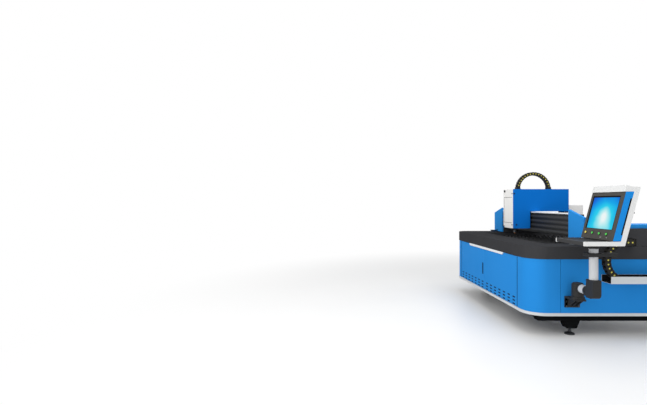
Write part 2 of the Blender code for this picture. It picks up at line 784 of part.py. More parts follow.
def make_frame():
    """Welded frame: long beams, cross members, posts, headers and the foot brackets."""
    low_x, high_x = END_X + FRAME_INSET, REAR_X - FRAME_INSET
    lower = side_places(LOWER_BEAM_SETBACK, BEAM_WIDTH)
    upper = side_places(UPPER_BEAM_SETBACK, UPPER_BEAM_WIDTH)
    beam_start, beam_end = low_x + CORNER_RADIUS / 2, high_x - CORNER_RADIUS / 2
    frame = box(
        "bed_frame",
        (beam_start, lower[0][0], LOWER_BEAM_BOTTOM), (beam_end, lower[0][1], LOWER_BEAM_TOP),
        "dark_steel",
    )
    members = [((beam_start, lower[1][0], LOWER_BEAM_BOTTOM),
                (beam_end, lower[1][1], LOWER_BEAM_TOP))]
    for low_y, high_y in upper:
        members.append(((beam_start, low_y, UPPER_BEAM_BOTTOM), (beam_end, high_y, FRAME_TOP)))
    inside_low = lower[0][0] + BEAM_WIDTH / 2
    inside_high = lower[1][1] - BEAM_WIDTH / 2
    table_top = SLAT_RAIL_BOTTOM - SEAT_GAP
    for x in stations():
        half = CROSS_WIDTH / 2
        foot_z = LOWER_BEAM_TOP - CROSS_HEIGHT - SMALL_EDGE
        members.append(((x - half, inside_low, foot_z),
                        (x + half, inside_high, LOWER_BEAM_TOP - SMALL_EDGE)))
        members.append(((x - half, inside_low, table_top - CROSS_HEIGHT),
                        (x + half, inside_high, table_top)))
        for low_y, high_y in side_places(LOWER_BEAM_SETBACK + SMALL_EDGE, POST_SIZE):
            members.append(((x - POST_SIZE / 2, low_y, LOWER_BEAM_BOTTOM + SMALL_EDGE),
                            (x + POST_SIZE / 2, high_y, UPPER_BEAM_BOTTOM + CROSS_HEIGHT)))
    header_top = SHELL_TOP - SMALL_EDGE
    reach = FRAME_INSET + STATION_INSET
    corner_room = CORNER_RADIUS / 2
    for start, end in ((low_x, END_X + reach), (REAR_X - reach, high_x)):
        members.append(((start, inside_low + corner_room, header_top - HEADER_HEIGHT),
                        (end, inside_high - corner_room, header_top)))
    fuse(frame, boxes("frame_members", members), overlapping=True)
    for index, (x, y) in enumerate(foot_places()):
        top = LOWER_BEAM_BOTTOM + SMALL_EDGE
        bottom_half = BRACKET_FOOT_WIDTH / 2
        outline = [
            (x - bottom_half, BRACKET_BOTTOM), (x + bottom_half, BRACKET_BOTTOM),
            (x + BRACKET_TOP_WIDTH / 2, top), (x - BRACKET_TOP_WIDTH / 2, top),
        ]
        half = BEAM_WIDTH / 2 - SMALL_EDGE
        fuse(frame, prism("foot_bracket_%d" % index, [outline], "Y", y - half, y + half))
    return frame


def foot_places():
    near, far = side_places(LOWER_BEAM_SETBACK, BEAM_WIDTH)
    rows = (sum(near) / 2, sum(far) / 2)
    return [(x, y) for y in rows for x in (END_X + FOOT_INSET, 0, REAR_X - FOOT_INSET)]


def make_feet():
    """Levelling feet: a dished pad, a lock nut and the threaded stem, turned as one."""
    stem_top = BRACKET_BOTTOM - SEAT_GAP
    nut_bottom = stem_top - FOOT_NUT_HEIGHT
    profile = [
        (0, stem_top), (FOOT_NUT_RADIUS, stem_top), (FOOT_NUT_RADIUS, nut_bottom),
        (FOOT_STEM_RADIUS, nut_bottom), (FOOT_STEM_RADIUS, FOOT_PAD_HEIGHT + FOOT_PAD_DISH),
        (FOOT_PAD_RADIUS, FOOT_PAD_HEIGHT), (FOOT_PAD_RADIUS, 0), (0, 0),
    ]
    for index, (x, y) in enumerate(foot_places()):
        turned("levelling_foot_%d" % (index + 1), (x, y, 0), profile, "dark_steel", FOOT_STEPS)


def make_bay_equipment():
    """Laser source and control cabinet on the cross members behind the doors."""
    low_x, high_x = END_X + BAY_SETBACK, END_X + BAY_SETBACK + BAY_DEPTH
    base = LOWER_BEAM_TOP - SMALL_EDGE + SEAT_GAP
    near_y = NEAR_Y + LOWER_BEAM_SETBACK + BEAM_WIDTH + BAY_SIDE_CLEARANCE
    laser = box(
        "laser_source", (low_x, near_y, base), (high_x, near_y + LASER_WIDTH, base + LASER_HEIGHT),
        "light_grey",
    )
    grooves = []
    pitch = LASER_WIDTH / (FIN_COUNT + 1)
    for index in range(FIN_COUNT):
        y = near_y + (index + 1) * pitch
        grooves.append(((low_x - CUT_OVERRUN, y - pitch / 4, base + LASER_HEIGHT - FIN_DEPTH),
                        (high_x + CUT_OVERRUN, y + pitch / 4, base + LASER_HEIGHT + FIN_DEPTH)))
    cut(laser, boxes("laser_grooves", grooves))
    far_y = FAR_Y - LOWER_BEAM_SETBACK - BEAM_WIDTH - BAY_SIDE_CLEARANCE
    cabinet = box(
        "control_cabinet",
        (low_x, far_y - CABINET_WIDTH, base), (high_x, far_y, base + CABINET_HEIGHT), "light_grey",
    )
    soften(cabinet, SMALL_EDGE)


def slat_outline():
    """Side view of one slat: a row of pointed teeth over a straight lower edge."""
    low_y = NEAR_Y + RIM_BAND_SIDE + SLAT_END_CLEARANCE
    high_y = FAR_Y - RIM_BAND_SIDE - SLAT_END_CLEARANCE
    teeth = int((high_y - low_y) / TOOTH_PITCH)
    pitch = (high_y - low_y) / teeth
    root = SLAT_TOP - TOOTH_DEPTH
    outline = [(low_y, SLAT_BOTTOM), (low_y, root)]
    for index in range(teeth):
        outline.append((low_y + (index + 0.5) * pitch, SLAT_TOP))
        outline.append((low_y + (index + 1) * pitch, root))
    outline.append((high_y, SLAT_BOTTOM))
    return outline


def make_slats():
    """The table: slats across the bed, standing in two long rails."""
    low_x = END_X + RIM_BAND_END + SLAT_END_CLEARANCE
    high_x = REAR_X - RIM_BAND_END - SLAT_END_CLEARANCE
    low_y = NEAR_Y + RIM_BAND_SIDE + SLAT_END_CLEARANCE + SLAT_RAIL_WIDTH
    high_y = FAR_Y - RIM_BAND_SIDE - SLAT_END_CLEARANCE - SLAT_RAIL_WIDTH
    top = SLAT_RAIL_BOTTOM + SLAT_RAIL_HEIGHT
    table = box(
        "slat_bed",
        (low_x, low_y, SLAT_RAIL_BOTTOM), (high_x, low_y + SLAT_RAIL_WIDTH, top), "steel",
    )
    other = box(
        "slat_rail_far",
        (low_x, high_y - SLAT_RAIL_WIDTH, SLAT_RAIL_BOTTOM), (high_x, high_y, top),
    )
    count = int((high_x - low_x - SLAT_THICKNESS) / SLAT_PITCH)
    pitch = (high_x - low_x - SLAT_THICKNESS) / count
    outline = slat_outline()
    first = prism("slat_profile", [outline], "X", 0, SLAT_THICKNESS)
    mesh = bpy.data.meshes.new("slats")
    shape = bmesh.new()
    for index in range(count + 1):
        start = low_x + index * pitch
        before = set(shape.verts)
        shape.from_mesh(first.data)
        new = [vertex for vertex in shape.verts if vertex not in before]
        bmesh.ops.translate(shape, vec=(start, 0, 0), verts=new)
    shape.to_mesh(mesh)
    shape.free()
    bpy.data.objects.remove(first)
    slats = add_object("slats", mesh)
    return fuse(table, other, slats)


def make_guide_rail(name, side_y, across):
    """Profiled guide rail on the rim, with a waist for the bearing blocks."""
    half, waist = RAIL_WIDTH / 2, RAIL_WAIST / 2
    heights = (0, RAIL_WAIST_BOTTOM, RAIL_WAIST_BOTTOM + SMALL_EDGE,
               RAIL_WAIST_TOP, RAIL_WAIST_TOP + SMALL_EDGE, RAIL_HEIGHT)
    halves = (half, half, waist, waist, half, half)
    middle = side_y + across * RAIL_CENTRE
    right = [(middle + wide, RAIL_BASE + high) for wide, high in zip(halves, heights)]
    left = [(middle - wide, RAIL_BASE + high) for wide, high in zip(halves, heights)]
    low_x, high_x = END_X + RAIL_START, REAR_X - RAIL_END_MARGIN
    return prism(name, [right + left[::-1]], "X", low_x, high_x, "steel")


def mirrored(outline, across, side_y):
    """An outline given from the near side, set at the side that the sign names."""
    return [(side_y + across * y, z) for y, z in outline]


def rail_notch(name, middle, low_x, high_x, clearance):
    """Cutter for the way of a guide rail through a part of the gantry that reaches the rim."""
    half = RAIL_WIDTH / 2 + clearance
    return box(
        name + "_notch",
        (low_x - CUT_OVERRUN, middle - half, RIM_TOP - CUT_OVERRUN),
        (high_x + CUT_OVERRUN, middle + half, RAIL_TOP + clearance),
    )


def make_saddle(name, side_y, across):
    """Gantry foot: a sheet-metal housing over the rail, with two bearing blocks inside."""
    low_x = END_X + SADDLE_FRONT
    high_x = low_x + SADDLE_LENGTH
    sides = sorted((side_y + across * SADDLE_OUTER_EDGE, side_y + across * COVER_INNER_EDGE))
    saddle = box(
        name, (low_x, sides[0], SADDLE_BOTTOM), (high_x, sides[1], SADDLE_TOP), "black"
    )
    hollow = box(
        name + "_hollow",
        (low_x + SADDLE_WALL, sides[0] + SADDLE_WALL, SADDLE_BOTTOM - CUT_OVERRUN),
        (high_x - SADDLE_WALL, sides[1] - SADDLE_WALL, SADDLE_TOP - SADDLE_WALL),
    )
    middle = side_y + across * RAIL_CENTRE
    notch = rail_notch(name, middle, low_x, high_x, RAIL_NOTCH_CLEARANCE)
    cut(saddle, hollow, notch)
    block_half = BLOCK_WIDTH / 2
    starts = (low_x + BLOCK_END_INSET, high_x - BLOCK_END_INSET - BLOCK_LENGTH)
    blocks = [((start, middle - block_half, RAIL_TOP + SEAT_GAP),
               (start + BLOCK_LENGTH, middle + block_half, SADDLE_TOP - SADDLE_WALL / 2))
              for start in starts]
    return fuse(saddle, boxes(name + "_blocks", blocks))


def make_end_cover(name, side_y, across):
    """Blue cover at a beam end: a tall front plate with a sloped top, notched over the rail,
    and a low cap along the saddle."""
    low_x = END_X + GANTRY_FRONT
    outline = [
        (COVER_OUTER_EDGE, COVER_BOTTOM), (COVER_INNER_EDGE, COVER_BOTTOM),
        (COVER_INNER_EDGE, COVER_INNER_TOP), (COVER_OUTER_EDGE, COVER_OUTER_TOP),
    ]
    cover = prism(
        name, [mirrored(outline, across, side_y)], "X", low_x, low_x + COVER_DEPTH, "blue"
    )
    sides = sorted((side_y + across * COVER_OUTER_EDGE, side_y + across * COVER_INNER_EDGE))
    saddle_room = box(
        name + "_saddle_room",
        (END_X + SADDLE_FRONT - SEAT_GAP, sides[0] - CUT_OVERRUN, COVER_BOTTOM - CUT_OVERRUN),
        (low_x + COVER_DEPTH + CUT_OVERRUN, sides[1] + CUT_OVERRUN, SADDLE_TOP + SEAT_GAP),
    )
    cap = box(
        name + "_cap",
        (low_x + COVER_DEPTH / 2, sides[0], SADDLE_TOP + SEAT_GAP),
        (END_X + SADDLE_FRONT + SADDLE_LENGTH, sides[1], SADDLE_TOP + COVER_CAP_HEIGHT),
    )
    middle = side_y + across * RAIL_CENTRE
    notch = rail_notch(name, middle, low_x, low_x + COVER_DEPTH, COVER_NOTCH_CLEARANCE)
    return fuse(cut(cover, saddle_room, notch), cap)


def make_beam():
    """Gantry beam: a box section with long ribs on its front and a chain ledge behind."""
    front, rear = END_X + BEAM_FRONT, END_X + BEAM_REAR
    outline = [(front, BEAM_TOP), (rear, BEAM_TOP)]
    ledge_top = BEAM_BOTTOM + LEDGE_RISE + LEDGE_THICKNESS
    lip_in = rear + LEDGE_REACH - LEDGE_LIP_THICKNESS
    outline += [
        (rear, ledge_top), (lip_in, ledge_top), (lip_in, ledge_top + LEDGE_LIP),
        (rear + LEDGE_REACH, ledge_top + LEDGE_LIP), (rear + LEDGE_REACH, BEAM_BOTTOM + LEDGE_RISE),
        (rear, BEAM_BOTTOM + LEDGE_RISE), (rear, BEAM_BOTTOM), (front, BEAM_BOTTOM),
    ]
    for index in range(RIB_COUNT):
        low = BEAM_BOTTOM + RIB_FIRST_RISE + index * RIB_PITCH
        high = low + RIB_HEIGHT
        tip = front - RIB_DEPTH
        outline += [
            (front, low), (tip, low + SMALL_EDGE), (tip, high - SMALL_EDGE), (front, high),
        ]
    low_y = NEAR_Y + COVER_INNER_EDGE + SEAT_GAP
    high_y = FAR_Y - COVER_INNER_EDGE - SEAT_GAP
    prism("gantry_beam", [outline], "Y", low_y, high_y, "black")
    cap_front = front - BEAM_CAP_LEAD
    cap_base = BEAM_TOP + SEAT_GAP
    cap_outline = [
        (cap_front, cap_base), (cap_front + BEAM_CAP_WIDTH, cap_base),
        (cap_front + BEAM_CAP_WIDTH, cap_base + BEAM_CAP_HEIGHT - SMALL_EDGE),
        (cap_front + BEAM_CAP_WIDTH - SMALL_EDGE, cap_base + BEAM_CAP_HEIGHT),
        (cap_front + SMALL_EDGE, cap_base + BEAM_CAP_HEIGHT),
        (cap_front, cap_base + BEAM_CAP_HEIGHT - SMALL_EDGE),
    ]
    prism("beam_cap", [cap_outline], "Y", low_y, high_y, "white")


def carriage_outline(front, rear, top, leg_rear, leg_bottom, overhang):
    return [
        (front, leg_bottom), (leg_rear, leg_bottom), (leg_rear, overhang),
        (rear, overhang), (rear, top), (front, top),
    ]


def make_carriage():
    """Carriage: blue folded shell, white front cover, rear box and the plate on the beam ribs."""
    near, far = NEAR_Y + CARRIAGE_NEAR, NEAR_Y + CARRIAGE_FAR
    front, rear = END_X + CARRIAGE_FRONT + COVER_THICKNESS, END_X + CARRIAGE_REAR
    leg_rear = END_X + LEG_REAR
    outline = carriage_outline(front, rear, CARRIAGE_TOP, leg_rear, LEG_BOTTOM, OVERHANG_BOTTOM)
    shell = prism("carriage_shell", [outline], "Y", near, far, "deep_blue")
    hollow = box(
        "carriage_hollow",
        (front - CUT_OVERRUN, near + SHEET, LEG_BOTTOM - CUT_OVERRUN),
        (rear - SHEET, far - SHEET, CARRIAGE_TOP - SHEET),
    )
    middle = NEAR_Y + HEAD_ACROSS
    tongue = box(
        "chain_tongue",
        (rear - SHEET, middle - TONGUE_HALF_WIDTH, OVERHANG_BOTTOM - TONGUE_DROP),
        (rear, middle + TONGUE_HALF_WIDTH, OVERHANG_BOTTOM + CUT_OVERRUN),
    )
    fuse(cut(shell, hollow), tongue)
    cover_top = CARRIAGE_TOP - SHEET - SEAT_GAP
    cover_front = END_X + CARRIAGE_FRONT
    cover_back = front - SEAT_GAP
    sides = (
        (near, LEG_BOTTOM), (far - COVER_CHAMFER, LEG_BOTTOM), (far, LEG_BOTTOM + COVER_CHAMFER),
        (far, CARRIAGE_TOP), (near, CARRIAGE_TOP),
    )
    cover = prism("head_cover", [sides], "X", cover_front, cover_back, "white")
    inner = SHEET + SEAT_GAP
    lip = box(
        "head_cover_lip",
        (cover_back - SHEET, near + inner, cover_top - SHEET),
        (cover_back + COVER_WRAP, far - inner, cover_top),
    )
    fuse(cover, lip)
    plate_back = END_X + BEAM_FRONT - RIB_DEPTH - SEAT_GAP
    plate = box(
        "carriage_plate",
        (plate_back - CARRIAGE_PLATE_THICKNESS, near + inner, LEG_BOTTOM + CARRIAGE_PLATE_RISE),
        (plate_back, far - inner, CARRIAGE_PLATE_TOP),
        "dark_steel",
    )
    rail_front = plate_back - CARRIAGE_PLATE_THICKNESS - CARRIAGE_PLATE_RAIL_DEPTH
    half = CARRIAGE_PLATE_RAIL_WIDTH / 2
    lift_rail = box(
        "lift_rail",
        (rail_front, middle - half, HEAD_BODY_BOTTOM),
        (plate_back - CARRIAGE_PLATE_THICKNESS / 2, middle + half, CARRIAGE_PLATE_TOP - SMALL_EDGE),
    )
    fuse(plate, lift_rail)
    rear_box = box(
        "carriage_box",
        (rear + SEAT_GAP, near + REAR_BOX_SIDE, REAR_BOX_TOP - REAR_BOX_HEIGHT),
        (rear + REAR_BOX_LENGTH, far - REAR_BOX_SIDE, REAR_BOX_TOP),
        "white",
    )
    soften(rear_box, REAR_BOX_EDGE)
    return rail_front


def make_head(rail_front):
    """Cutting head: a turned body with its slide block, and the nozzle below it."""
    x, y = END_X + CARRIAGE_FRONT + HEAD_FROM_FRONT, NEAR_Y + HEAD_ACROSS
    bottom = HEAD_BODY_BOTTOM
    top = bottom + HEAD_BODY_HEIGHT
    cone_end = bottom - HEAD_CONE_HEIGHT
    lower_end = cone_end - HEAD_LOWER_LENGTH
    profile = [
        (0, top), (HEAD_NECK_RADIUS, top), (HEAD_NECK_RADIUS, top - HEAD_COLLAR_HEIGHT),
        (HEAD_BODY_RADIUS, top - HEAD_COLLAR_HEIGHT),
        (HEAD_BODY_RADIUS, bottom + HEAD_COLLAR_HEIGHT),
        (HEAD_COLLAR_RADIUS, bottom + HEAD_COLLAR_HEIGHT), (HEAD_COLLAR_RADIUS, bottom),
        (HEAD_NECK_RADIUS, cone_end), (HEAD_LOWER_RADIUS, cone_end),
        (HEAD_LOWER_RADIUS, lower_end), (0, lower_end),
    ]
    head = turned("cutting_head", (x, y, 0), profile, "steel")
    block_bottom = bottom + HEAD_BLOCK_RISE
    block = box(
        "head_block",
        (x, y - HEAD_BLOCK_WIDTH / 2, block_bottom),
        (rail_front - SEAT_GAP, y + HEAD_BLOCK_WIDTH / 2, block_bottom + HEAD_BLOCK_HEIGHT),
    )
    fuse(head, block)
    nozzle_top = lower_end - SEAT_GAP
    nozzle = [
        (0, nozzle_top), (NOZZLE_RADIUS, nozzle_top), (NOZZLE_RADIUS, nozzle_top - NOZZLE_COLLAR),
        (NOZZLE_TIP_RADIUS, lower_end - NOZZLE_LENGTH), (0, lower_end - NOZZLE_LENGTH),
    ]
    turned("nozzle", (x, y, 0), nozzle, "brass", SMALL_ROUND_STEPS)


def straight(start, end, up):
    """One straight stretch of a chain's centre line, with the side that faces outwards."""
    start, end = Vector(start), Vector(end)
    return (end - start).length, lambda s: (start + (end - start).normalized() * s, up)


def bend(centre, radius, start_deg, sweep_deg):
    """One round stretch of a chain's centre line in its own plane."""
    def at(s):
        angle = math.radians(start_deg) + math.copysign(s / radius, sweep_deg)
        outward = Vector((math.cos(angle), math.sin(angle)))
        return Vector(centre) + outward * radius, outward
    return radius * math.radians(abs(sweep_deg)), at


def chain_points(stretches, pitch):
    """Stations along a chain: full section over each link, waisted between links."""
    total = sum(length for length, _ in stretches)
    count = max(2, round(total / pitch))
    step = total / count
    neck = step * LINK_NECK_SHARE
    stations_along = []
    for index in range(count):
        start = index * step
        first = start + neck / 2 if index else 0
        last = start + step - neck / 2 if index < count - 1 else total
        stations_along += [(first, 0), (last, 0)]
        if index < count - 1:
            stations_along += [(start + step - neck / 4, 1), (start + step + neck / 4, 1)]
    placed = []
    for s, waisted in stations_along:
        for length, at in stretches:
            if s <= length:
                break
            s -= length
        placed.append((*at(min(s, length)), waisted))
    return placed


def make_chain(name, stretches, axis, low, high, height, pitch, finish="plastic"):
    """Drag chain: one closed loft of links whose section steps in between them.

    The path lies in a plane; low and high are its limits along the axis across that plane."""
    mesh = bpy.data.meshes.new(name)
    shape = bmesh.new()
    rings = []
    for centre, outward, waisted in chain_points(stretches, pitch):
        half = height / 2 - LINK_WAIST_HEIGHT * waisted
        side = LINK_WAIST_WIDTH * waisted
        corners = []
        for sign, across in ((1, low + side), (1, high - side), (-1, high - side), (-1, low + side)):
            point = centre + outward * half * sign
            if axis == "Y":
                corners.append(shape.verts.new((point[0], across, point[1])))
            else:
                corners.append(shape.verts.new((across, point[0], point[1])))
        rings.append(corners)
    for first, second in zip(rings, rings[1:]):
        for index in range(4):
            after = (index + 1) % 4
            shape.faces.new((first[index], first[after], second[after], second[index]))
    shape.faces.new(rings[0])
    shape.faces.new(rings[-1])
    bmesh.ops.recalc_face_normals(shape, faces=shape.faces)
    shape.to_mesh(mesh)
    shape.free()
    return add_object(name, mesh, finish)


UP = Vector((0, 1))
DOWN = Vector((0, -1))


def make_bed_chain():
    """Chain along the bed, its open tray, and the bracket that ties it to the near saddle."""
    outer = NEAR_Y - BED_CHAIN_OUTER_EDGE
    panel_face = NEAR_Y + PANEL_INSET - SEAT_GAP
    low_z = TRAY_BOTTOM + SHEET + SEAT_GAP + BED_CHAIN_HEIGHT / 2
    loop = (END_X + BED_CHAIN_LOOP_AT, low_z + BED_CHAIN_LOOP_RADIUS)
    high_z = loop[1] + BED_CHAIN_LOOP_RADIUS
    upper_end = END_X + BED_CHAIN_UPPER_END_AT
    stretches = [
        straight((END_X + BED_CHAIN_END_AT, low_z), (loop[0], low_z), DOWN),
        bend(loop, BED_CHAIN_LOOP_RADIUS, -90, -180),
        straight((loop[0], high_z), (upper_end, high_z), UP),
    ]
    make_chain(
        "bed_chain", stretches, "Y", outer, outer + BED_CHAIN_WIDTH, BED_CHAIN_HEIGHT, LINK_PITCH
    )
    tray_face = NEAR_Y - TRAY_REACH
    top = TRAY_BOTTOM + TRAY_HEIGHT
    section = [
        (tray_face, TRAY_BOTTOM), (panel_face, TRAY_BOTTOM), (panel_face, top),
        (panel_face - SHEET, top), (panel_face - SHEET, TRAY_BOTTOM + SHEET),
        (tray_face + SHEET, TRAY_BOTTOM + SHEET), (tray_face + SHEET, top), (tray_face, top),
    ]
    prism(
        "chain_tray", [section], "X", END_X + TRAY_START, REAR_X - TRAY_END_MARGIN, "light_grey"
    )
    end_x = upper_end + SEAT_GAP
    margin = CHAIN_BRACKET_MARGIN
    saddle_face = NEAR_Y + SADDLE_OUTER_EDGE - SEAT_GAP
    half = BED_CHAIN_HEIGHT / 2
    bracket = box(
        "chain_bracket",
        (end_x, outer - margin, high_z - half - margin),
        (end_x + CHAIN_BRACKET_LENGTH, saddle_face, high_z + half + margin),
        "plastic",
    )
    room = box(
        "bracket_room",
        (end_x + CHAIN_BRACKET_WALL, outer - margin - CUT_OVERRUN, high_z - half),
        (end_x + CHAIN_BRACKET_LENGTH + CUT_OVERRUN, saddle_face - CHAIN_BRACKET_WALL,
         high_z + half + margin + CUT_OVERRUN),
    )
    cut(bracket, room)


def make_beam_chain():
    """Chain on the ledge behind the beam, tied to the carriage's tongue."""
    high_x = END_X + CARRIAGE_REAR - SHEET - SEAT_GAP
    low_x = high_x - BEAM_CHAIN_WIDTH
    ledge_top = BEAM_BOTTOM + LEDGE_RISE + LEDGE_THICKNESS
    low_z = ledge_top + SEAT_GAP + BEAM_CHAIN_HEIGHT / 2
    fixed_end, moving_end = NEAR_Y + BED_WIDTH / 2, NEAR_Y + HEAD_ACROSS
    loop = (moving_end + BEAM_CHAIN_LOOP_LEAD, low_z + BEAM_CHAIN_LOOP_RADIUS)
    high_z = loop[1] + BEAM_CHAIN_LOOP_RADIUS
    stretches = [
        straight((fixed_end, low_z), (loop[0], low_z), DOWN),
        bend(loop, BEAM_CHAIN_LOOP_RADIUS, -90, 180),
        straight((loop[0], high_z), (moving_end, high_z), UP),
    ]
    make_chain(
        "beam_chain", stretches, "X", low_x, high_x, BEAM_CHAIN_HEIGHT, BEAM_CHAIN_PITCH
    )


def make_head_chain():
    """The arch of chain that stands on the carriage."""
    low = NEAR_Y + CARRIAGE_NEAR + HEAD_CHAIN_FROM_NEAR
    centre = (END_X + HEAD_CHAIN_CENTRE, CARRIAGE_TOP + SEAT_GAP)
    stretches = [bend(centre, HEAD_CHAIN_RADIUS, 180, -180)]
    make_chain(
        "head_chain", stretches, "Y", low, low + HEAD_CHAIN_WIDTH, HEAD_CHAIN_HEIGHT, LINK_PITCH
    )


def make_arm():
    """Console arm: wall bracket, swivel knuckle, tube, elbow, pole and the plate on the pole."""
    x = END_X + ARM_AT
    face = NEAR_Y + PANEL_INSET - SEAT_GAP
    axis_y = NEAR_Y - ARM_AXIS_OUT
    plate_top = BRACKET_PLATE_BOTTOM + BRACKET_PLATE_HEIGHT
    half = BRACKET_PLATE_WIDTH / 2
    bracket = box(
        "arm_bracket",
        (x - half, face - BRACKET_PLATE_THICKNESS, BRACKET_PLATE_BOTTOM), (x + half, face, plate_top),
        "plastic",
    )
    shelf_low = plate_top - SHELF_THICKNESS - SMALL_EDGE
    shelf_end = NEAR_Y - SHELF_REACH
    shelf = prism(
        "arm_shelf",
        [[(x - half + SMALL_EDGE, face - SMALL_EDGE), (x - half + SHELF_TAPER, shelf_end),
          (x + half - SHELF_TAPER, shelf_end), (x + half - SMALL_EDGE, face - SMALL_EDGE)]],
        "Z", shelf_low, plate_top - SMALL_EDGE,
    )
    fuse(bracket, shelf)
    gusset = [
        (face - SMALL_EDGE, shelf_low + SMALL_EDGE), (face - SMALL_EDGE, BRACKET_PLATE_BOTTOM + SMALL_EDGE),
        (shelf_end + SHELF_TAPER, shelf_low + SMALL_EDGE),
    ]
    spread = BRACKET_PLATE_WIDTH - 2 * SHELF_TAPER - GUSSET_THICKNESS
    for index in range(GUSSET_COUNT):
        middle = x - spread / 2 + spread * index / (GUSSET_COUNT - 1)
        low, high = middle - GUSSET_THICKNESS / 2, middle + GUSSET_THICKNESS / 2
        fuse(bracket, prism("arm_gusset_%d" % index, [gusset], "X", low, high))
    boss_top = plate_top - SMALL_EDGE + BOSS_HEIGHT
    boss = [
        (0, boss_top), (BOSS_RADIUS - BOSS_EDGE, boss_top), (BOSS_RADIUS, boss_top - BOSS_EDGE),
        (BOSS_RADIUS, plate_top - SHELF_THICKNESS), (0, plate_top - SHELF_THICKNESS),
    ]
    fuse(bracket, turned("arm_boss", (x, axis_y, 0), boss))
    base = boss_top + SEAT_GAP
    top = base + KNUCKLE_HEIGHT
    knuckle_profile = [
        (0, top), (KNUCKLE_RADIUS - KNUCKLE_EDGE, top), (KNUCKLE_RADIUS, top - KNUCKLE_EDGE),
        (KNUCKLE_RADIUS, base), (0, base),
    ]
    knuckle = turned("arm_knuckle", (x, axis_y, 0), knuckle_profile, "plastic")
    tube_z = base + ARM_TUBE_RISE
    socket_end = axis_y - KNUCKLE_RADIUS - KNUCKLE_SOCKET / 2
    socket = rod(
        "arm_socket", (x, (axis_y + socket_end) / 2, tube_z),
        ARM_TUBE_RADIUS + SMALL_EDGE, axis_y - socket_end, "Y", ROUND_STEPS,
    )
    fuse(knuckle, socket)
    tube_near = NEAR_Y - ARM_TUBE_END
    tube_far = socket_end - SEAT_GAP
    rod(
        "arm_tube", (x, (tube_near + tube_far) / 2, tube_z), ARM_TUBE_RADIUS,
        tube_far - tube_near, "Y", ROUND_STEPS, "light_grey",
    )
    elbow_face = tube_near - SEAT_GAP
    rear, bottom = NEAR_Y - ELBOW_REAR, tube_z - ELBOW_DROP
    throat_y = NEAR_Y - POLE_OUT + (ELBOW_REAR - POLE_OUT)
    outline = [
        (elbow_face, tube_z + ELBOW_THROAT), (elbow_face, tube_z - ELBOW_THROAT),
        (throat_y, tube_z - ELBOW_THROAT), (throat_y, bottom),
    ]
    outline += arc((rear + ELBOW_RADIUS, bottom + ELBOW_RADIUS), ELBOW_RADIUS, 270, 180, ARC_STEPS)
    outline += [(rear, ELBOW_TOP), (throat_y, ELBOW_TOP), (throat_y, tube_z + ELBOW_THROAT)]
    elbow = prism(
        "arm_elbow", [outline], "X", x - ELBOW_WIDTH / 2, x + ELBOW_WIDTH / 2, "plastic"
    )
    soften(elbow, PLATE_EDGE)
    pole_y = NEAR_Y - POLE_OUT
    pole_low, pole_high = ELBOW_TOP + SEAT_GAP, POLE_TOP - SEAT_GAP
    rod(
        "console_pole", (x, pole_y, (pole_low + pole_high) / 2), POLE_RADIUS,
        pole_high - pole_low, "Z", ROUND_STEPS, "light_grey",
    )
    plate_high = POLE_TOP + POLE_PLATE_HEIGHT
    plate = box(
        "pole_plate",
        (x - POLE_PLATE_LEAD, pole_y - POLE_PLATE_WIDTH / 2, POLE_TOP),
        (x + POLE_PLATE_REACH, pole_y + POLE_PLATE_WIDTH / 2, plate_high),
        "plastic",
    )
    soften(plate, PLATE_EDGE / 2)
    neck_base = plate_high + SEAT_GAP
    neck_top = CONSOLE_FOOT_BOTTOM + KEY_TRAY_SINK - SEAT_GAP
    step = neck_base + NECK_STEP_HEIGHT
    neck = [
        (0, neck_top), (NECK_RADIUS, neck_top), (NECK_RADIUS, step + SMALL_EDGE),
        (NECK_WAIST_RADIUS, step), (NECK_WAIST_RADIUS, neck_base), (0, neck_base),
    ]
    turned("console_neck", (x, pole_y, 0), neck, "light_grey")


def face_x(height, depth=0.0):
    """Where the leaning console face stands at a height, a level distance behind it."""
    return END_X + CONSOLE_FACE_AT + (height - CONSOLE_FACE_BOTTOM) * CONSOLE_SLOPE + depth


def slab(low_z, high_z, front_depth, back_depth):
    """Side view of a leaning slab between two heights."""
    return [
        (face_x(low_z, front_depth), low_z), (face_x(low_z, back_depth), low_z),
        (face_x(high_z, back_depth), high_z), (face_x(high_z, front_depth), high_z),
    ]


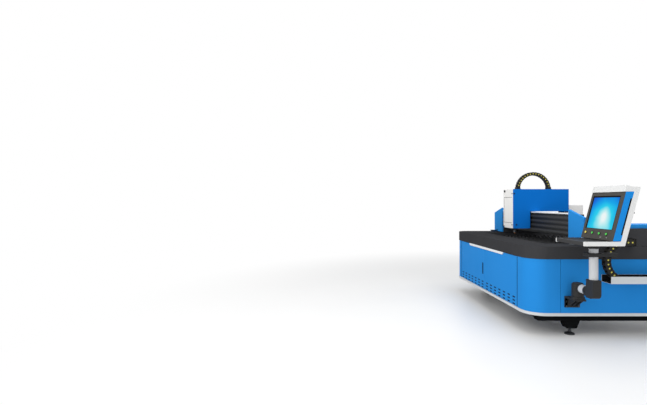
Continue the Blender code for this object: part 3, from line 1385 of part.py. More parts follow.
def make_console():
    near, far = NEAR_Y + CONSOLE_NEAR, NEAR_Y + CONSOLE_FAR
    back = CONSOLE_BODY_DEPTH + SEAT_GAP
    rear = CONSOLE_BODY_DEPTH + CONSOLE_BACK_DEPTH
    low, top = CONSOLE_FOOT_BOTTOM, CONSOLE_FACE_TOP
    cap_base = top + SEAT_GAP
    cap_front_x = face_x(top) - CONSOLE_CAP_LEAD
    lean = CONSOLE_CAP_FRONT_RISE * CONSOLE_SLOPE
    side_view = [
        (face_x(low, back), low), (face_x(low, rear), low),
        (face_x(top + CONSOLE_CAP_REAR_RISE, rear), top + CONSOLE_CAP_REAR_RISE),
        (cap_front_x + lean + CONSOLE_CAP_BREAK, top + CONSOLE_CAP_MID_RISE),
        (cap_front_x + lean, top + CONSOLE_CAP_FRONT_RISE),
        (cap_front_x, cap_base), (face_x(cap_base, back), cap_base),
    ]
    frame = prism("console_frame", [side_view], "Y", near, far, "white")
    bar_rear = face_x(low, rear) - SMALL_EDGE
    cheeks = [
        ((END_X + CONSOLE_BAR_FRONT, start, low), (bar_rear, start + CONSOLE_CHEEK, CONSOLE_BAR_TOP))
        for start in (near, far - CONSOLE_CHEEK)
    ]
    fuse(frame, boxes("console_cheeks", cheeks))
    sink = rear - SMALL_EDGE
    box_low, box_high = BACK_BOX_BOTTOM + BACK_BOX_SLOPE, BACK_BOX_TOP - BACK_BOX_SLOPE
    box_view = [
        (face_x(BACK_BOX_BOTTOM, sink), BACK_BOX_BOTTOM),
        (face_x(box_low, rear + BACK_BOX_DEPTH), box_low),
        (face_x(box_high, rear + BACK_BOX_DEPTH), box_high),
        (face_x(BACK_BOX_TOP, sink), BACK_BOX_TOP),
    ]
    back_box = prism("console_back", [box_view], "Y", near + BACK_BOX_SIDE, far - BACK_BOX_SIDE)
    fuse(frame, back_box)

    bottom = CONSOLE_FACE_BOTTOM
    body_view = slab(bottom, top, BEZEL_DEPTH, CONSOLE_BODY_DEPTH)
    panel = prism("console_panel", [body_view], "Y", near, far, "blue")
    groove_front = CONSOLE_BODY_DEPTH - GROOVE_FROM_REAR - GROOVE_WIDTH
    groove_view = slab(GROOVE_BOTTOM, GROOVE_TOP, groove_front, groove_front + GROOVE_WIDTH)
    near_groove = prism("groove_near", [groove_view], "Y", near - CUT_OVERRUN, near + GROOVE_DEPTH)
    far_groove = prism("groove_far", [groove_view], "Y", far - GROOVE_DEPTH, far + CUT_OVERRUN)
    cut(panel, near_groove, far_groove)

    bezel_back = BEZEL_DEPTH - SEAT_GAP
    bezel = prism("console_bezel", [slab(bottom, top, 0, bezel_back)], "Y", near, far, "plastic")
    screen_low, screen_high = near + SCREEN_SIDE_MARGIN, far - SCREEN_SIDE_MARGIN
    window_view = slab(SCREEN_BOTTOM, SCREEN_TOP, -CUT_OVERRUN, CUT_OVERRUN)
    window = prism("screen_window", [window_view], "Y", screen_low, screen_high)
    cut(bezel, window)
    clear = SCREEN_CLEARANCE
    glass_view = slab(SCREEN_BOTTOM + clear, SCREEN_TOP - clear, SCREEN_SINK, bezel_back)
    prism("console_screen", [glass_view], "Y", screen_low + clear, screen_high - clear, "screen")

    make_buttons(bezel, far)
    tray_rear = face_x(low, back) - SEAT_GAP
    inner = CONSOLE_CHEEK + SEAT_GAP
    tray_low = low + KEY_TRAY_SINK
    tray_top = CONSOLE_BAR_TOP - KEY_TRAY_SINK
    tray = box(
        "keyboard_tray",
        (END_X + CONSOLE_BAR_FRONT, near + inner, tray_low), (tray_rear, far - inner, tray_top),
        "plastic",
    )
    margin = KEY_RECESS_MARGIN
    recess = box(
        "key_recess",
        (END_X + CONSOLE_BAR_FRONT + margin, near + inner + margin, tray_top - KEY_RECESS_DEPTH),
        (face_x(tray_top) - margin, far - inner - margin, tray_top + CUT_OVERRUN),
    )
    cut(tray, recess)


def make_buttons(bezel, far):
    """Four push buttons square to the leaning face, each in its own hole."""
    lean = math.radians(CONSOLE_LEAN_DEG)
    inward = Vector((math.cos(lean), 0, -math.sin(lean)))
    turn = Matrix.Rotation(math.pi / 2 + lean, 4, "Y")
    names = ("button_yellow", "button_green_1", "button_green_2", "button_green_3")
    length = BUTTON_PROUD + BUTTON_SUNK
    for index, name in enumerate(names):
        y = far - BUTTON_FROM_FAR - index * BUTTON_PITCH
        on_face = Vector((face_x(BUTTON_HEIGHT), y, BUTTON_HEIGHT))
        hole = rod(
            name + "_hole", (0, 0, 0), BUTTON_RADIUS + SEAT_GAP, 2 * CUT_OVERRUN, "Z",
            SMALL_ROUND_STEPS,
        )
        hole.matrix_world = Matrix.Translation(on_face) @ turn
        cut(bezel, hole)
        button = rod(
            name, (0, 0, 0), BUTTON_RADIUS, length, "Z", SMALL_ROUND_STEPS,
            "yellow" if index == 0 else "green",
        )
        middle = on_face + inward * (BUTTON_SUNK - length / 2)
        button.matrix_world = Matrix.Translation(middle) @ turn


def build():
    make_rim()
    make_base_trim()
    make_panels()
    make_doors()
    make_front_trim()
    make_frame()
    make_feet()
    make_bay_equipment()
    make_slats()
    for name, side_y, across in (("near", NEAR_Y, 1), ("far", FAR_Y, -1)):
        make_guide_rail("guide_rail_" + name, side_y, across)
        make_saddle("saddle_" + name, side_y, across)
        make_end_cover("end_cover_" + name, side_y, across)
    make_beam()
    make_head(make_carriage())
    make_bed_chain()
    make_beam_chain()
    make_head_chain()
    make_arm()
    make_console()


build()
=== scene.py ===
import json
import math

import bmesh
import bpy
from mathutils import Matrix, Vector


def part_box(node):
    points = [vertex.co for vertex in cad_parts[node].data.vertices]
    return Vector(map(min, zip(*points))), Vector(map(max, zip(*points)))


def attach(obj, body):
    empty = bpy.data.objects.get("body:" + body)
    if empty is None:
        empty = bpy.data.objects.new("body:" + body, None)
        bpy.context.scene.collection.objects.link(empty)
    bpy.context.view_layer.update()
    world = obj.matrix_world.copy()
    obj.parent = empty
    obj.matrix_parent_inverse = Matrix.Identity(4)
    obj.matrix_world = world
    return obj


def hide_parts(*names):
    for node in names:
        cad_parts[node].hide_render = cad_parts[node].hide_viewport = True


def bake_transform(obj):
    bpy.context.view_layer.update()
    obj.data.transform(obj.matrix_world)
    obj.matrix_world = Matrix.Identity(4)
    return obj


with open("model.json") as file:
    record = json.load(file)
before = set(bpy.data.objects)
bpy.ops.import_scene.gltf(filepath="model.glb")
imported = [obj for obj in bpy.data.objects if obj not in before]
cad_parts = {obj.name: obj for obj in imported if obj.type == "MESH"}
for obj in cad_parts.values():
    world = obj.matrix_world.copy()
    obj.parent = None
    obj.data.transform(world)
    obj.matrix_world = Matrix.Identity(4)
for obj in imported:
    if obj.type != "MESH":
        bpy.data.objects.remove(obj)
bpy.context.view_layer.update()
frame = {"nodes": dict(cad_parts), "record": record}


# Camera. It stands level at eye height beside the walkway in front of the cabinet doors and
# looks along the bed's width, so that the doors, the near side and the console all show.
camera_data = bpy.data.cameras.new("camera")
camera_data.lens = 24.2
camera_data.sensor_width = 36.0
camera = bpy.data.objects.new("camera", camera_data)
camera.location = (-4.373, -5.40, 1.377)
camera.rotation_euler = (math.radians(90), 0, 0)
bpy.context.scene.collection.objects.link(camera)
bpy.context.scene.camera = camera
bpy.context.scene.view_settings.view_transform = "Standard"


# Floor and light. A pale sealed workshop floor with a soft shadow, a white surround, and wide
# soft lamps above and to the left of the machine.
def linear(colour):
    """A six-digit sRGB colour as linear numbers."""
    parts = [int(colour[at:at + 2], 16) / 255 for at in (0, 2, 4)]
    return [p / 12.92 if p <= 0.04045 else ((p + 0.055) / 1.055) ** 2.4 for p in parts] + [1.0]


def add(tree, kind, settings, inputs):
    """Adds a node with its settings; an input is a number, a colour or another node's socket."""
    node = tree.nodes.new(kind)
    for name, value in settings.items():
        setattr(node, name, value)
    for key, value in inputs.items():
        if isinstance(value, bpy.types.NodeSocket):
            tree.links.new(value, node.inputs[key])
        else:
            node.inputs[key].default_value = value
    return node


def new_finish(name):
    """An empty finish: the material, its tree, its shader and the place on the object."""
    material = bpy.data.materials.new(name)
    material.use_nodes = True
    tree = material.node_tree
    place = add(tree, "ShaderNodeTexCoord", {}, {}).outputs["Object"]
    return material, tree, tree.nodes["Principled BSDF"], place


def seen_ray(tree):
    """One where the eye sees the surface by itself, in a mirror or through glass, and else nought."""
    ray = add(tree, "ShaderNodeLightPath", {}, {})
    indirect = add(tree, "ShaderNodeMath", {"operation": "MAXIMUM"}, {
        0: ray.outputs["Is Glossy Ray"], 1: ray.outputs["Is Transmission Ray"]})
    return add(tree, "ShaderNodeMath", {"operation": "MAXIMUM"}, {
        0: ray.outputs["Is Camera Ray"], 1: indirect.outputs[0]})


# Sealed concrete: even and pale, a little cloudy, with a low sheen
floor_finish, tree, shader, place = new_finish("sealed_concrete_floor")
cloud = add(tree, "ShaderNodeTexNoise", {}, {"Vector": place, "Scale": 0.8, "Detail": 4.0})
tint = add(tree, "ShaderNodeMix", {"data_type": "RGBA"}, {
    "Factor": cloud.outputs["Fac"], 6: linear("ecebea"), 7: linear("f3f2f0")})
tree.links.new(tint.outputs[2], shader.inputs["Base Color"])
shader.inputs["Roughness"].default_value = 0.42
shader.inputs["Specular IOR Level"].default_value = 0.35
# Beyond the machine's own shadow the floor runs out into the white of the surround
distance = add(tree, "ShaderNodeVectorMath", {"operation": "LENGTH"}, {0: place})
fade = add(tree, "ShaderNodeMapRange", {"interpolation_type": "SMOOTHSTEP"}, {
    "Value": distance.outputs["Value"], "From Min": 3.2, "From Max": 7.5})
share = add(tree, "ShaderNodeMath", {"operation": "MULTIPLY"}, {
    0: seen_ray(tree).outputs[0], 1: fade.outputs[0]})
white = add(tree, "ShaderNodeEmission", {}, {"Color": (1, 1, 1, 1), "Strength": 1.0})
run_out = add(tree, "ShaderNodeMixShader", {}, {
    0: share.outputs[0], 1: shader.outputs[0], 2: white.outputs[0]})
tree.links.new(run_out.outputs[0], tree.nodes["Material Output"].inputs["Surface"])
floor_mesh = bpy.data.meshes.new("floor")
floor_mesh.from_pydata([(-60, -60, 0), (60, -60, 0), (60, 60, 0), (-60, 60, 0)], [], [(0, 1, 2, 3)])
floor_mesh.materials.append(floor_finish)
floor = bpy.data.objects.new("floor", floor_mesh)
bpy.context.scene.collection.objects.link(floor)

world = bpy.data.worlds.new("surround")
bpy.context.scene.world = world
world.use_nodes = True
tree = world.node_tree
tree.nodes.clear()
glow = add(tree, "ShaderNodeBackground", {}, {"Color": linear("f7fafd"), "Strength": 0.52})
white = add(tree, "ShaderNodeBackground", {}, {"Color": (1, 1, 1, 1), "Strength": 1.0})
either = add(tree, "ShaderNodeMixShader", {}, {
    0: seen_ray(tree).outputs[0], 1: glow.outputs[0], 2: white.outputs[0]})
add(tree, "ShaderNodeOutputWorld", {}, {"Surface": either.outputs[0]})

for lamp_name, lamp_at, aim, power, width in (
    ("ceiling_lamp", (-1.0, -1.5, 6.5), (0, 0.3, 0.5), 270, 7.0),
    ("left_lamp", (-8.0, -3.0, 4.0), (-1.5, 0.3, 0.7), 225, 5.0),
    ("front_lamp", (-3.0, -8.5, 3.5), (0, 0, 0.8), 105, 5.0),
):
    lamp_data = bpy.data.lights.new(lamp_name, "AREA")
    lamp_data.energy = power
    lamp_data.size = width
    lamp = bpy.data.objects.new(lamp_name, lamp_data)
    lamp.location = lamp_at
    lamp.rotation_euler = (Vector(aim) - Vector(lamp_at)).to_track_quat("-Z", "Y").to_euler()
    bpy.context.scene.collection.objects.link(lamp)


# Bed frame. Welded steel beams, posts and cross members under the shell, painted dark; the
# foot brackets hang from the lower beams. Only the feet and the underside of it show.
def powder_coat(name, colour, shade, roughness, peel, mirror=0.005):
    """Baked powder paint: even colour with a faint cloud and the fine ripple called orange peel."""
    material, tree, shader, place = new_finish(name)
    cloud = add(tree, "ShaderNodeTexNoise", {}, {"Vector": place, "Scale": 1.7, "Detail": 3.0})
    tint = add(tree, "ShaderNodeMix", {"data_type": "RGBA"}, {
        "Factor": cloud.outputs["Fac"], 6: linear(colour), 7: linear(shade)})
    tree.links.new(tint.outputs[2], shader.inputs["Base Color"])
    # The ripple is 3 mm from crest to crest, as on thick powder
    ripple = add(tree, "ShaderNodeTexNoise", {}, {"Vector": place, "Scale": 330.0, "Detail": 2.0})
    bump = add(tree, "ShaderNodeBump", {}, {
        "Height": ripple.outputs["Fac"], "Strength": peel, "Distance": 0.0004})
    tree.links.new(bump.outputs[0], shader.inputs["Normal"])
    sheen = add(tree, "ShaderNodeMapRange", {}, {
        "Value": cloud.outputs["Fac"], "From Min": 0.3, "From Max": 0.7,
        "To Min": roughness - 0.04, "To Max": roughness + 0.05})
    tree.links.new(sheen.outputs[0], shader.inputs["Roughness"])
    # The paint mirrors little of a white room, even at a low angle
    shader.inputs["Specular IOR Level"].default_value = mirror
    return material


home = {node: body for body, nodes in frame["record"]["behaviour"]["bodies"].items()
        for node in nodes}


def piece(name, shape, material, node, replaced=(), broad=False):
    """Makes a shape a finished piece that rides with a CAD node's body and hides the CAD parts it
    replaces.

    A broad piece has its shading weighted by area, so that flat faces stay flat to the eye."""
    bmesh.ops.remove_doubles(shape, verts=shape.verts, dist=0.00001)
    bmesh.ops.recalc_face_normals(shape, faces=shape.faces)
    mesh = bpy.data.meshes.new(name)
    shape.to_mesh(mesh)
    shape.free()
    for one in material if isinstance(material, (list, tuple)) else [material]:
        mesh.materials.append(one)
    mesh.shade_smooth()
    mesh.set_sharp_from_angle(angle=math.radians(32))
    made = bpy.data.objects.new(name, mesh)
    bpy.context.scene.collection.objects.link(made)
    if broad:
        weigh = made.modifiers.new("weigh", "WEIGHTED_NORMAL")
        weigh.keep_sharp = True
        bpy.context.view_layer.update()
        made_even = bpy.data.meshes.new_from_object(
            made.evaluated_get(bpy.context.evaluated_depsgraph_get()))
        made.modifiers.remove(weigh)
        made.data = made_even
        bpy.data.meshes.remove(mesh)
    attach(made, home[node])
    if replaced:
        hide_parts(*replaced)
    return made


def rounded(shape, edge):
    """Breaks a shape's hard edges with a small round, as on folded and ground metal."""
    bmesh.ops.remove_doubles(shape, verts=shape.verts, dist=0.00001)
    bmesh.ops.dissolve_limit(
        shape, angle_limit=math.radians(0.5), verts=shape.verts, edges=shape.edges)
    hard = [line for line in shape.edges
            if len(line.link_faces) == 2 and line.calc_face_angle() > math.radians(25)]
    bmesh.ops.bevel(
        shape, geom=hard, offset=edge, offset_type="OFFSET", segments=2, profile=0.5,
        affect="EDGES", clamp_overlap=False)
    return shape


def dressed(node, material, edge):
    """A CAD solid as a finished piece with its edges broken."""
    shape = bmesh.new()
    shape.from_mesh(frame["nodes"][node].data)
    return piece(node + "_finish", rounded(shape, edge), material, node, (node,), broad=True)


frame_paint = powder_coat("dark_frame_enamel", "0f1011", "171819", 0.55, 0.25)
dressed("bed_frame", frame_paint, 0.002)


# Levelling feet. Zinc-plated pads on rubber soles, with a threaded stem and two hexagon nuts
# each; they screw up into the foot brackets.
def lathe(profile, steps, where=Matrix()):
    """A form turned about the Z axis from (radius, height) points, then carried to its place."""
    shape = bmesh.new()
    rings = []
    for radius, height in profile:
        if radius:
            turns = [2 * math.pi * step / steps for step in range(steps)]
            rings.append([shape.verts.new((radius * math.cos(a), radius * math.sin(a), height))
                          for a in turns])
        else:
            rings.append([shape.verts.new((0, 0, height))] * steps)
    for upper, lower in zip(rings, rings[1:]):
        for step in range(steps):
            after = (step + 1) % steps
            corners = list(dict.fromkeys((upper[step], upper[after], lower[after], lower[step])))
            if len(corners) > 2:
                shape.faces.new(corners)
    shape.transform(where)
    return shape


def joined(*shapes):
    """Several shapes in one mesh."""
    whole = bmesh.new()
    for shape in shapes:
        mesh = bpy.data.meshes.new("part")
        shape.to_mesh(mesh)
        shape.free()
        whole.from_mesh(mesh)
        bpy.data.meshes.remove(mesh)
    return whole


def row_tree():
    """Copies of a shape in a straight row, made one mesh of one material."""
    tree = bpy.data.node_groups.new("row_of_copies", "GeometryNodeTree")
    for label, kind in (("Shape", "NodeSocketGeometry"), ("Count", "NodeSocketInt"),
                        ("Pitch", "NodeSocketVector"), ("Finish", "NodeSocketMaterial")):
        tree.interface.new_socket(label, in_out="INPUT", socket_type=kind)
    tree.interface.new_socket("Row", in_out="OUTPUT", socket_type="NodeSocketGeometry")
    given = add(tree, "NodeGroupInput", {}, {})
    line = add(tree, "GeometryNodeMeshLine", {"mode": "OFFSET"}, {
        "Count": given.outputs["Count"], "Offset": given.outputs["Pitch"]})
    copies = add(tree, "GeometryNodeInstanceOnPoints", {}, {
        "Points": line.outputs["Mesh"], "Instance": given.outputs["Shape"]})
    real = add(tree, "GeometryNodeRealizeInstances", {}, {"Geometry": copies.outputs[0]})
    coated = add(tree, "GeometryNodeSetMaterial", {}, {
        "Geometry": real.outputs[0], "Material": given.outputs["Finish"]})
    add(tree, "NodeGroupOutput", {}, {"Row": coated.outputs[0]})
    return tree


copies_in_a_row = row_tree()


def evaluated(shape, tree, values):
    """The plain shape that a node tree makes of a shape; the modifier doesn't outlive the call."""
    mesh = bpy.data.meshes.new("unit")
    shape.to_mesh(mesh)
    shape.free()
    holder = bpy.data.objects.new("holder", mesh)
    bpy.context.scene.collection.objects.link(holder)
    modifier = holder.modifiers.new("nodes", "NODES")
    modifier.node_group = tree
    sockets = {item.name: item.identifier for item in tree.interface.items_tree
               if item.item_type == "SOCKET" and item.in_out == "INPUT"}
    for label, value in values.items():
        modifier[sockets[label]] = value
    bpy.context.view_layer.update()
    made = bpy.data.meshes.new_from_object(
        holder.evaluated_get(bpy.context.evaluated_depsgraph_get()))
    result = bmesh.new()
    result.from_mesh(made)
    bpy.data.objects.remove(holder)
    bpy.data.meshes.remove(made)
    bpy.data.meshes.remove(mesh)
    return result


def row(shape, count, pitch, material):
    """A number of copies of a shape, a pitch apart."""
    return evaluated(shape, copies_in_a_row, {"Count": count, "Pitch": pitch, "Finish": material})


# Zinc plate: pale grey with a faint patchy sheen
zinc, tree, shader, place = new_finish("zinc_plated_steel")
patch = add(tree, "ShaderNodeTexVoronoi", {}, {"Vector": place, "Scale": 160.0})
tint = add(tree, "ShaderNodeMix", {"data_type": "RGBA"}, {
    "Factor": patch.outputs["Distance"], 6: linear("4c4f52"), 7: linear("606367")})
tree.links.new(tint.outputs[2], shader.inputs["Base Color"])
shader.inputs["Metallic"].default_value = 1.0
shader.inputs["Roughness"].default_value = 0.42

# Black rubber: matt, a little mottled. The same near-black is painted shade on the console,
# round the screen and in the grooves of its side faces
rubber_and_shade_black, tree, shader, place = new_finish("black_rubber_and_painted_shade")
mottle = add(tree, "ShaderNodeTexNoise", {}, {"Vector": place, "Scale": 90.0, "Detail": 4.0})
tint = add(tree, "ShaderNodeMix", {"data_type": "RGBA"}, {
    "Factor": mottle.outputs["Fac"], 6: linear("0f0f10"), 7: linear("171717")})
tree.links.new(tint.outputs[2], shader.inputs["Base Color"])
shader.inputs["Roughness"].default_value = 0.85
shader.inputs["Specular IOR Level"].default_value = 0.05

foot_near_at = Vector((-1.795, -0.84, 0))
foot_pitch_x, foot_pitch_y = 1.795, 2.23
pad = [(0, 0.030), (0.013, 0.030), (0.016, 0.026), (0.030, 0.020), (0.046, 0.013), (0.049, 0.010),
       (0.049, 0.006), (0, 0.006)]
stem = [(0, 0.0695)]
for thread in range(11):
    stem += [(0.0120, 0.0695 - thread * 0.004), (0.0106, 0.0675 - thread * 0.004)]
stem += [(0, 0.0255)]
lock_nut = [(0, 0.0695), (0.0195, 0.0695), (0.0215, 0.0680), (0.0215, 0.0575), (0.0195, 0.0560),
            (0, 0.0560)]
foot_nut = [(0, 0.043), (0.0175, 0.043), (0.019, 0.0415), (0.019, 0.0325), (0.0175, 0.031),
            (0, 0.031)]
place_foot = Matrix.Translation(foot_near_at)
one_foot = joined(lathe(pad, 24, place_foot), lathe(stem, 14, place_foot),
                  lathe(lock_nut, 6, place_foot), lathe(foot_nut, 6, place_foot))
near_feet = row(one_foot, 3, (foot_pitch_x, 0, 0), zinc)
feet = row(near_feet, 2, (0, foot_pitch_y, 0), zinc)
foot_nodes = ["levelling_foot_%d" % number for number in range(1, 7)]
piece("levelling_feet", feet, zinc, "levelling_foot_1", foot_nodes)
sole = [(0, 0.0058), (0.048, 0.0058), (0.050, 0.004), (0.050, 0.0), (0, 0.0)]
near_soles = row(lathe(sole, 24, place_foot), 3, (foot_pitch_x, 0, 0), rubber_and_shade_black)
piece("foot_soles", row(near_soles, 2, (0, foot_pitch_y, 0), rubber_and_shade_black), rubber_and_shade_black, "levelling_foot_1")


# Base trim. A pale grey strip, folded from sheet steel and powder coated, closes the lower
# edge of the shell all round.
trim_paint = powder_coat("light_grey_powder_coat", "d2d4d5", "c8cacb", 0.38, 0.15)
dressed("base_trim", trim_paint, 0.003)


# Shell panels. Folded sheet steel with blue powder paint: two long side panels, a rear panel
# and four rounded corner sheets, hung on the frame with fine seams between them.
def block(low, high, edge):
    """A rectangular block between two corners, with rounded edges."""
    shape = bmesh.new()
    bmesh.ops.create_cube(shape, size=1)
    low, high = Vector(low), Vector(high)
    bmesh.ops.scale(shape, vec=high - low, verts=shape.verts)
    bmesh.ops.translate(shape, vec=(low + high) / 2, verts=shape.verts)
    if edge:
        bmesh.ops.bevel(shape, geom=shape.edges[:], offset=edge, offset_type="OFFSET", segments=2,
                        profile=0.5, affect="EDGES", clamp_overlap=True)
    return shape


blue_paint = powder_coat("blue_powder_coat", "2a89d5", "2783cd", 0.34, 0.12)
for node in ("side_panel_near", "side_panel_far", "rear_panel", "corner_front_near",
             "corner_front_far", "corner_rear_near", "corner_rear_far"):
    dressed(node, blue_paint, 0.0008)
# Foam seals close the upright seams from behind
seal_low, seal_high, seal_half = 0.2470, 0.7920, 0.012
seal_depth, near_seal_y, far_seal_y, rear_seal_x = 0.002, -0.9408, 1.4888, 2.2638
seals = [block((x - seal_half, y, seal_low), (x + seal_half, y + seal_depth, seal_high), 0)
         for x in (-1.9435, 1.9435) for y in (near_seal_y, far_seal_y)]
seals += [block((rear_seal_x, y - seal_half, seal_low),
                (rear_seal_x + seal_depth, y + seal_half, seal_high), 0) for y in (-0.6695, 1.2195)]
# Thin rubber strips edge the front corner sheets beside the doors
strip_face, strip_back, strip_half = -2.2694, -2.2691, 0.0046
seals += [block((strip_face, y - strip_half, seal_low), (strip_back, y + strip_half, seal_high), 0)
          for y in (-0.6758, 1.2258)]
piece("seam_seals", joined(*seals), rubber_and_shade_black, "side_panel_near")


# Cabinet doors. Two blue leaves on upright pins, with three rows of vent slots low down; a
# black moulded pull is set in a cup near the closing edge of the far leaf.
def ground_steel(name, colour, shade, roughness, along):
    """Bare steel with the fine scratches that a grinding wheel leaves along one direction."""
    material, tree, shader, place = new_finish(name)
    streaks = add(tree, "ShaderNodeMapping", {}, {"Vector": place, "Scale": along})
    scratch = add(tree, "ShaderNodeTexNoise", {}, {
        "Vector": streaks.outputs[0], "Scale": 240.0, "Detail": 3.0})
    tint = add(tree, "ShaderNodeMix", {"data_type": "RGBA"}, {
        "Factor": scratch.outputs["Fac"], 6: linear(colour), 7: linear(shade)})
    tree.links.new(tint.outputs[2], shader.inputs["Base Color"])
    rough = add(tree, "ShaderNodeMapRange", {}, {
        "Value": scratch.outputs["Fac"], "From Min": 0.3, "From Max": 0.7,
        "To Min": roughness - 0.06, "To Max": roughness + 0.08})
    tree.links.new(rough.outputs[0], shader.inputs["Roughness"])
    shader.inputs["Metallic"].default_value = 1.0
    return material


def moulded_plastic(name, colour, shade, roughness, grain_mm):
    """Injection-moulded plastic with the fine leather-like grain of the mould."""
    material, tree, shader, place = new_finish(name)
    grain = add(tree, "ShaderNodeTexNoise", {}, {
        "Vector": place, "Scale": 1000.0 / grain_mm, "Detail": 2.0})
    tint = add(tree, "ShaderNodeMix", {"data_type": "RGBA"}, {
        "Factor": grain.outputs["Fac"], 6: linear(colour), 7: linear(shade)})
    tree.links.new(tint.outputs[2], shader.inputs["Base Color"])
    bump = add(tree, "ShaderNodeBump", {}, {
        "Height": grain.outputs["Fac"], "Strength": 0.25, "Distance": 0.0003})
    tree.links.new(bump.outputs[0], shader.inputs["Normal"])
    shader.inputs["Roughness"].default_value = roughness
    shader.inputs["Specular IOR Level"].default_value = 0.12
    return material


for node in ("door_near", "door_far"):
    dressed(node, blue_paint, 0.0007)
pin_steel = ground_steel("ground_steel_pin", "9a9da1", "b0b3b7", 0.34, (1, 1, 0.05))
for node in ("hinge_pin_near", "hinge_pin_far"):
    dressed(node, pin_steel, 0.0005)
black_abs = moulded_plastic("black_abs_moulding", "2a2a2b", "333333", 0.48, 1.2)
dressed("door_handle", rubber_and_shade_black, 0.0012)
# A black flange surrounds the pull, which has a grip of soft rubber
flange_face, flange_back, pull_y = -2.2698, -2.2690, 0.345
flange_low, flange_high, flange_half, bar_width, bar_gap = 0.437, 0.583, 0.018, 0.009, 0.0002
upright_low, upright_high = flange_low + bar_width + bar_gap, flange_high - bar_width - bar_gap
flange_near, flange_far = pull_y - flange_half, pull_y + flange_half
flange = [block((flange_face, flange_near, z), (flange_back, flange_far, z + bar_width), 0)
          for z in (flange_low, flange_high - bar_width)]
flange += [block((flange_face, y, upright_low), (flange_back, y + bar_width, upright_high), 0)
           for y in (flange_near, flange_far - bar_width)]
piece("pull_flange", joined(*flange), rubber_and_shade_black, "door_far")
# Open-cell foam: matt black and pitted; a mat of it filters the air behind the vent slots. The
# same near-black is painted shade where it plugs the slots and where it lines the chain tray.
filter_foam_and_shade, tree, shader, place = new_finish("black_filter_foam_and_painted_shade")
pores = add(tree, "ShaderNodeTexVoronoi", {}, {"Vector": place, "Scale": 700.0})
tint = add(tree, "ShaderNodeMix", {"data_type": "RGBA"}, {
    "Factor": pores.outputs["Distance"], 6: linear("0b0c0d"), 7: linear("17181a")})
tree.links.new(tint.outputs[2], shader.inputs["Base Color"])
shader.inputs["Roughness"].default_value = 0.95
shader.inputs["Specular IOR Level"].default_value = 0.1
mat_face, mat_back, mat_low, mat_high, mat_half = -2.2657, -2.2617, 0.252, 0.348, 0.44
pad_face, pad_back, pad_low, pad_high, pad_half = -2.2694, -2.2660, 0.2555, 0.2705, 0.0290
slot_columns, slot_pitch, slot_rows, slot_rise = 7, 0.131, 3, 0.037
for node, middle_y in (("door_near", -0.196), ("door_far", 0.746)):
    mat = block((mat_face, middle_y - mat_half, mat_low),
                (mat_back, middle_y + mat_half, mat_high), 0.001)
    piece(node + "_filter", mat, filter_foam_and_shade, node)
    # Near-black plugs fill the vent slots: painted shade for the dark inside the cabinet
    first_y = middle_y - slot_pitch * (slot_columns - 1) / 2
    pad = block((pad_face, first_y - pad_half, pad_low),
                (pad_back, first_y + pad_half, pad_high), 0.0003)
    lowest_shade_plugs = row(pad, slot_columns, (0, slot_pitch, 0), filter_foam_and_shade)
    shade_plugs = row(lowest_shade_plugs, slot_rows, (0, 0, slot_rise), filter_foam_and_shade)
    piece(node + "_slot_shade_plugs", shade_plugs, filter_foam_and_shade, node)


# Equipment behind the doors. The laser source with its cooling fins and the control cabinet,
# both in grey painted sheet steel, stand on the cross members.
cabinet_paint = powder_coat("grey_cabinet_enamel", "a9adb1", "a0a4a8", 0.45, 0.3)
dressed("laser_source", cabinet_paint, 0.0008)
dressed("control_cabinet", cabinet_paint, 0.0015)


# Front strip. A white accent strip with slanted ends, folded from thin sheet and powder coated,
# is set under the rim over the doors.
white_paint = powder_coat("white_powder_coat", "e6e7e8", "dcdee0", 0.36, 0.12)
dressed("front_trim", white_paint, 0.0015)


# Rim cover. Black textured powder paint on folded sheet: the outer wall, the wide flat top
# round the work opening and the lip down into it.
black_coat = powder_coat("black_textured_powder_coat", "39393b", "424244", 0.5, 0.6, 0.0)
dressed("rim_cover", black_coat, 0.0014)


# Slat table. Mild steel strips with saw teeth stand across the bed in two slotted rails. The
# laser scorches and spatters the tips, so they are dark and rusty above a plainer grey.
slat_steel, tree, shader, place = new_finish("scorched_mild_steel_slats")
height = add(tree, "ShaderNodeSeparateXYZ", {}, {0: place})
burnt = add(tree, "ShaderNodeMapRange", {}, {
    "Value": height.outputs["Z"], "From Min": 0.845, "From Max": 0.892})
spatter = add(tree, "ShaderNodeTexNoise", {}, {"Vector": place, "Scale": 60.0, "Detail": 5.0})
reach = add(tree, "ShaderNodeMath", {"operation": "MULTIPLY", "use_clamp": True}, {
    0: burnt.outputs[0], 1: spatter.outputs["Fac"]})
tint = add(tree, "ShaderNodeMix", {"data_type": "RGBA"}, {
    "Factor": reach.outputs[0], 6: linear("5b5d60"), 7: linear("2c2520")})
tree.links.new(tint.outputs[2], shader.inputs["Base Color"])
shader.inputs["Metallic"].default_value = 0.75
shader.inputs["Roughness"].default_value = 0.58

slat_low_y, slat_high_y = -0.606, 1.156
slat_first_x, slat_last_x, slat_count = -1.925, 1.921, 28
slat_pitch = (slat_last_x - slat_first_x) / (slat_count - 1)
slat_top, slat_root, slat_bottom, slat_thickness = 0.895, 0.865, 0.795, 0.004
tooth_count, tip_half = 15, 0.0015
tooth_pitch = (slat_high_y - slat_low_y) / tooth_count
profile = [(slat_low_y, slat_bottom), (slat_low_y, slat_root)]
for tooth in range(tooth_count):
    tip = slat_low_y + (tooth + 0.5) * tooth_pitch
    profile += [(tip - tip_half, slat_top), (tip + tip_half, slat_top),
                (tip + tooth_pitch / 2, slat_root)]
profile.append((slat_high_y, slat_bottom))


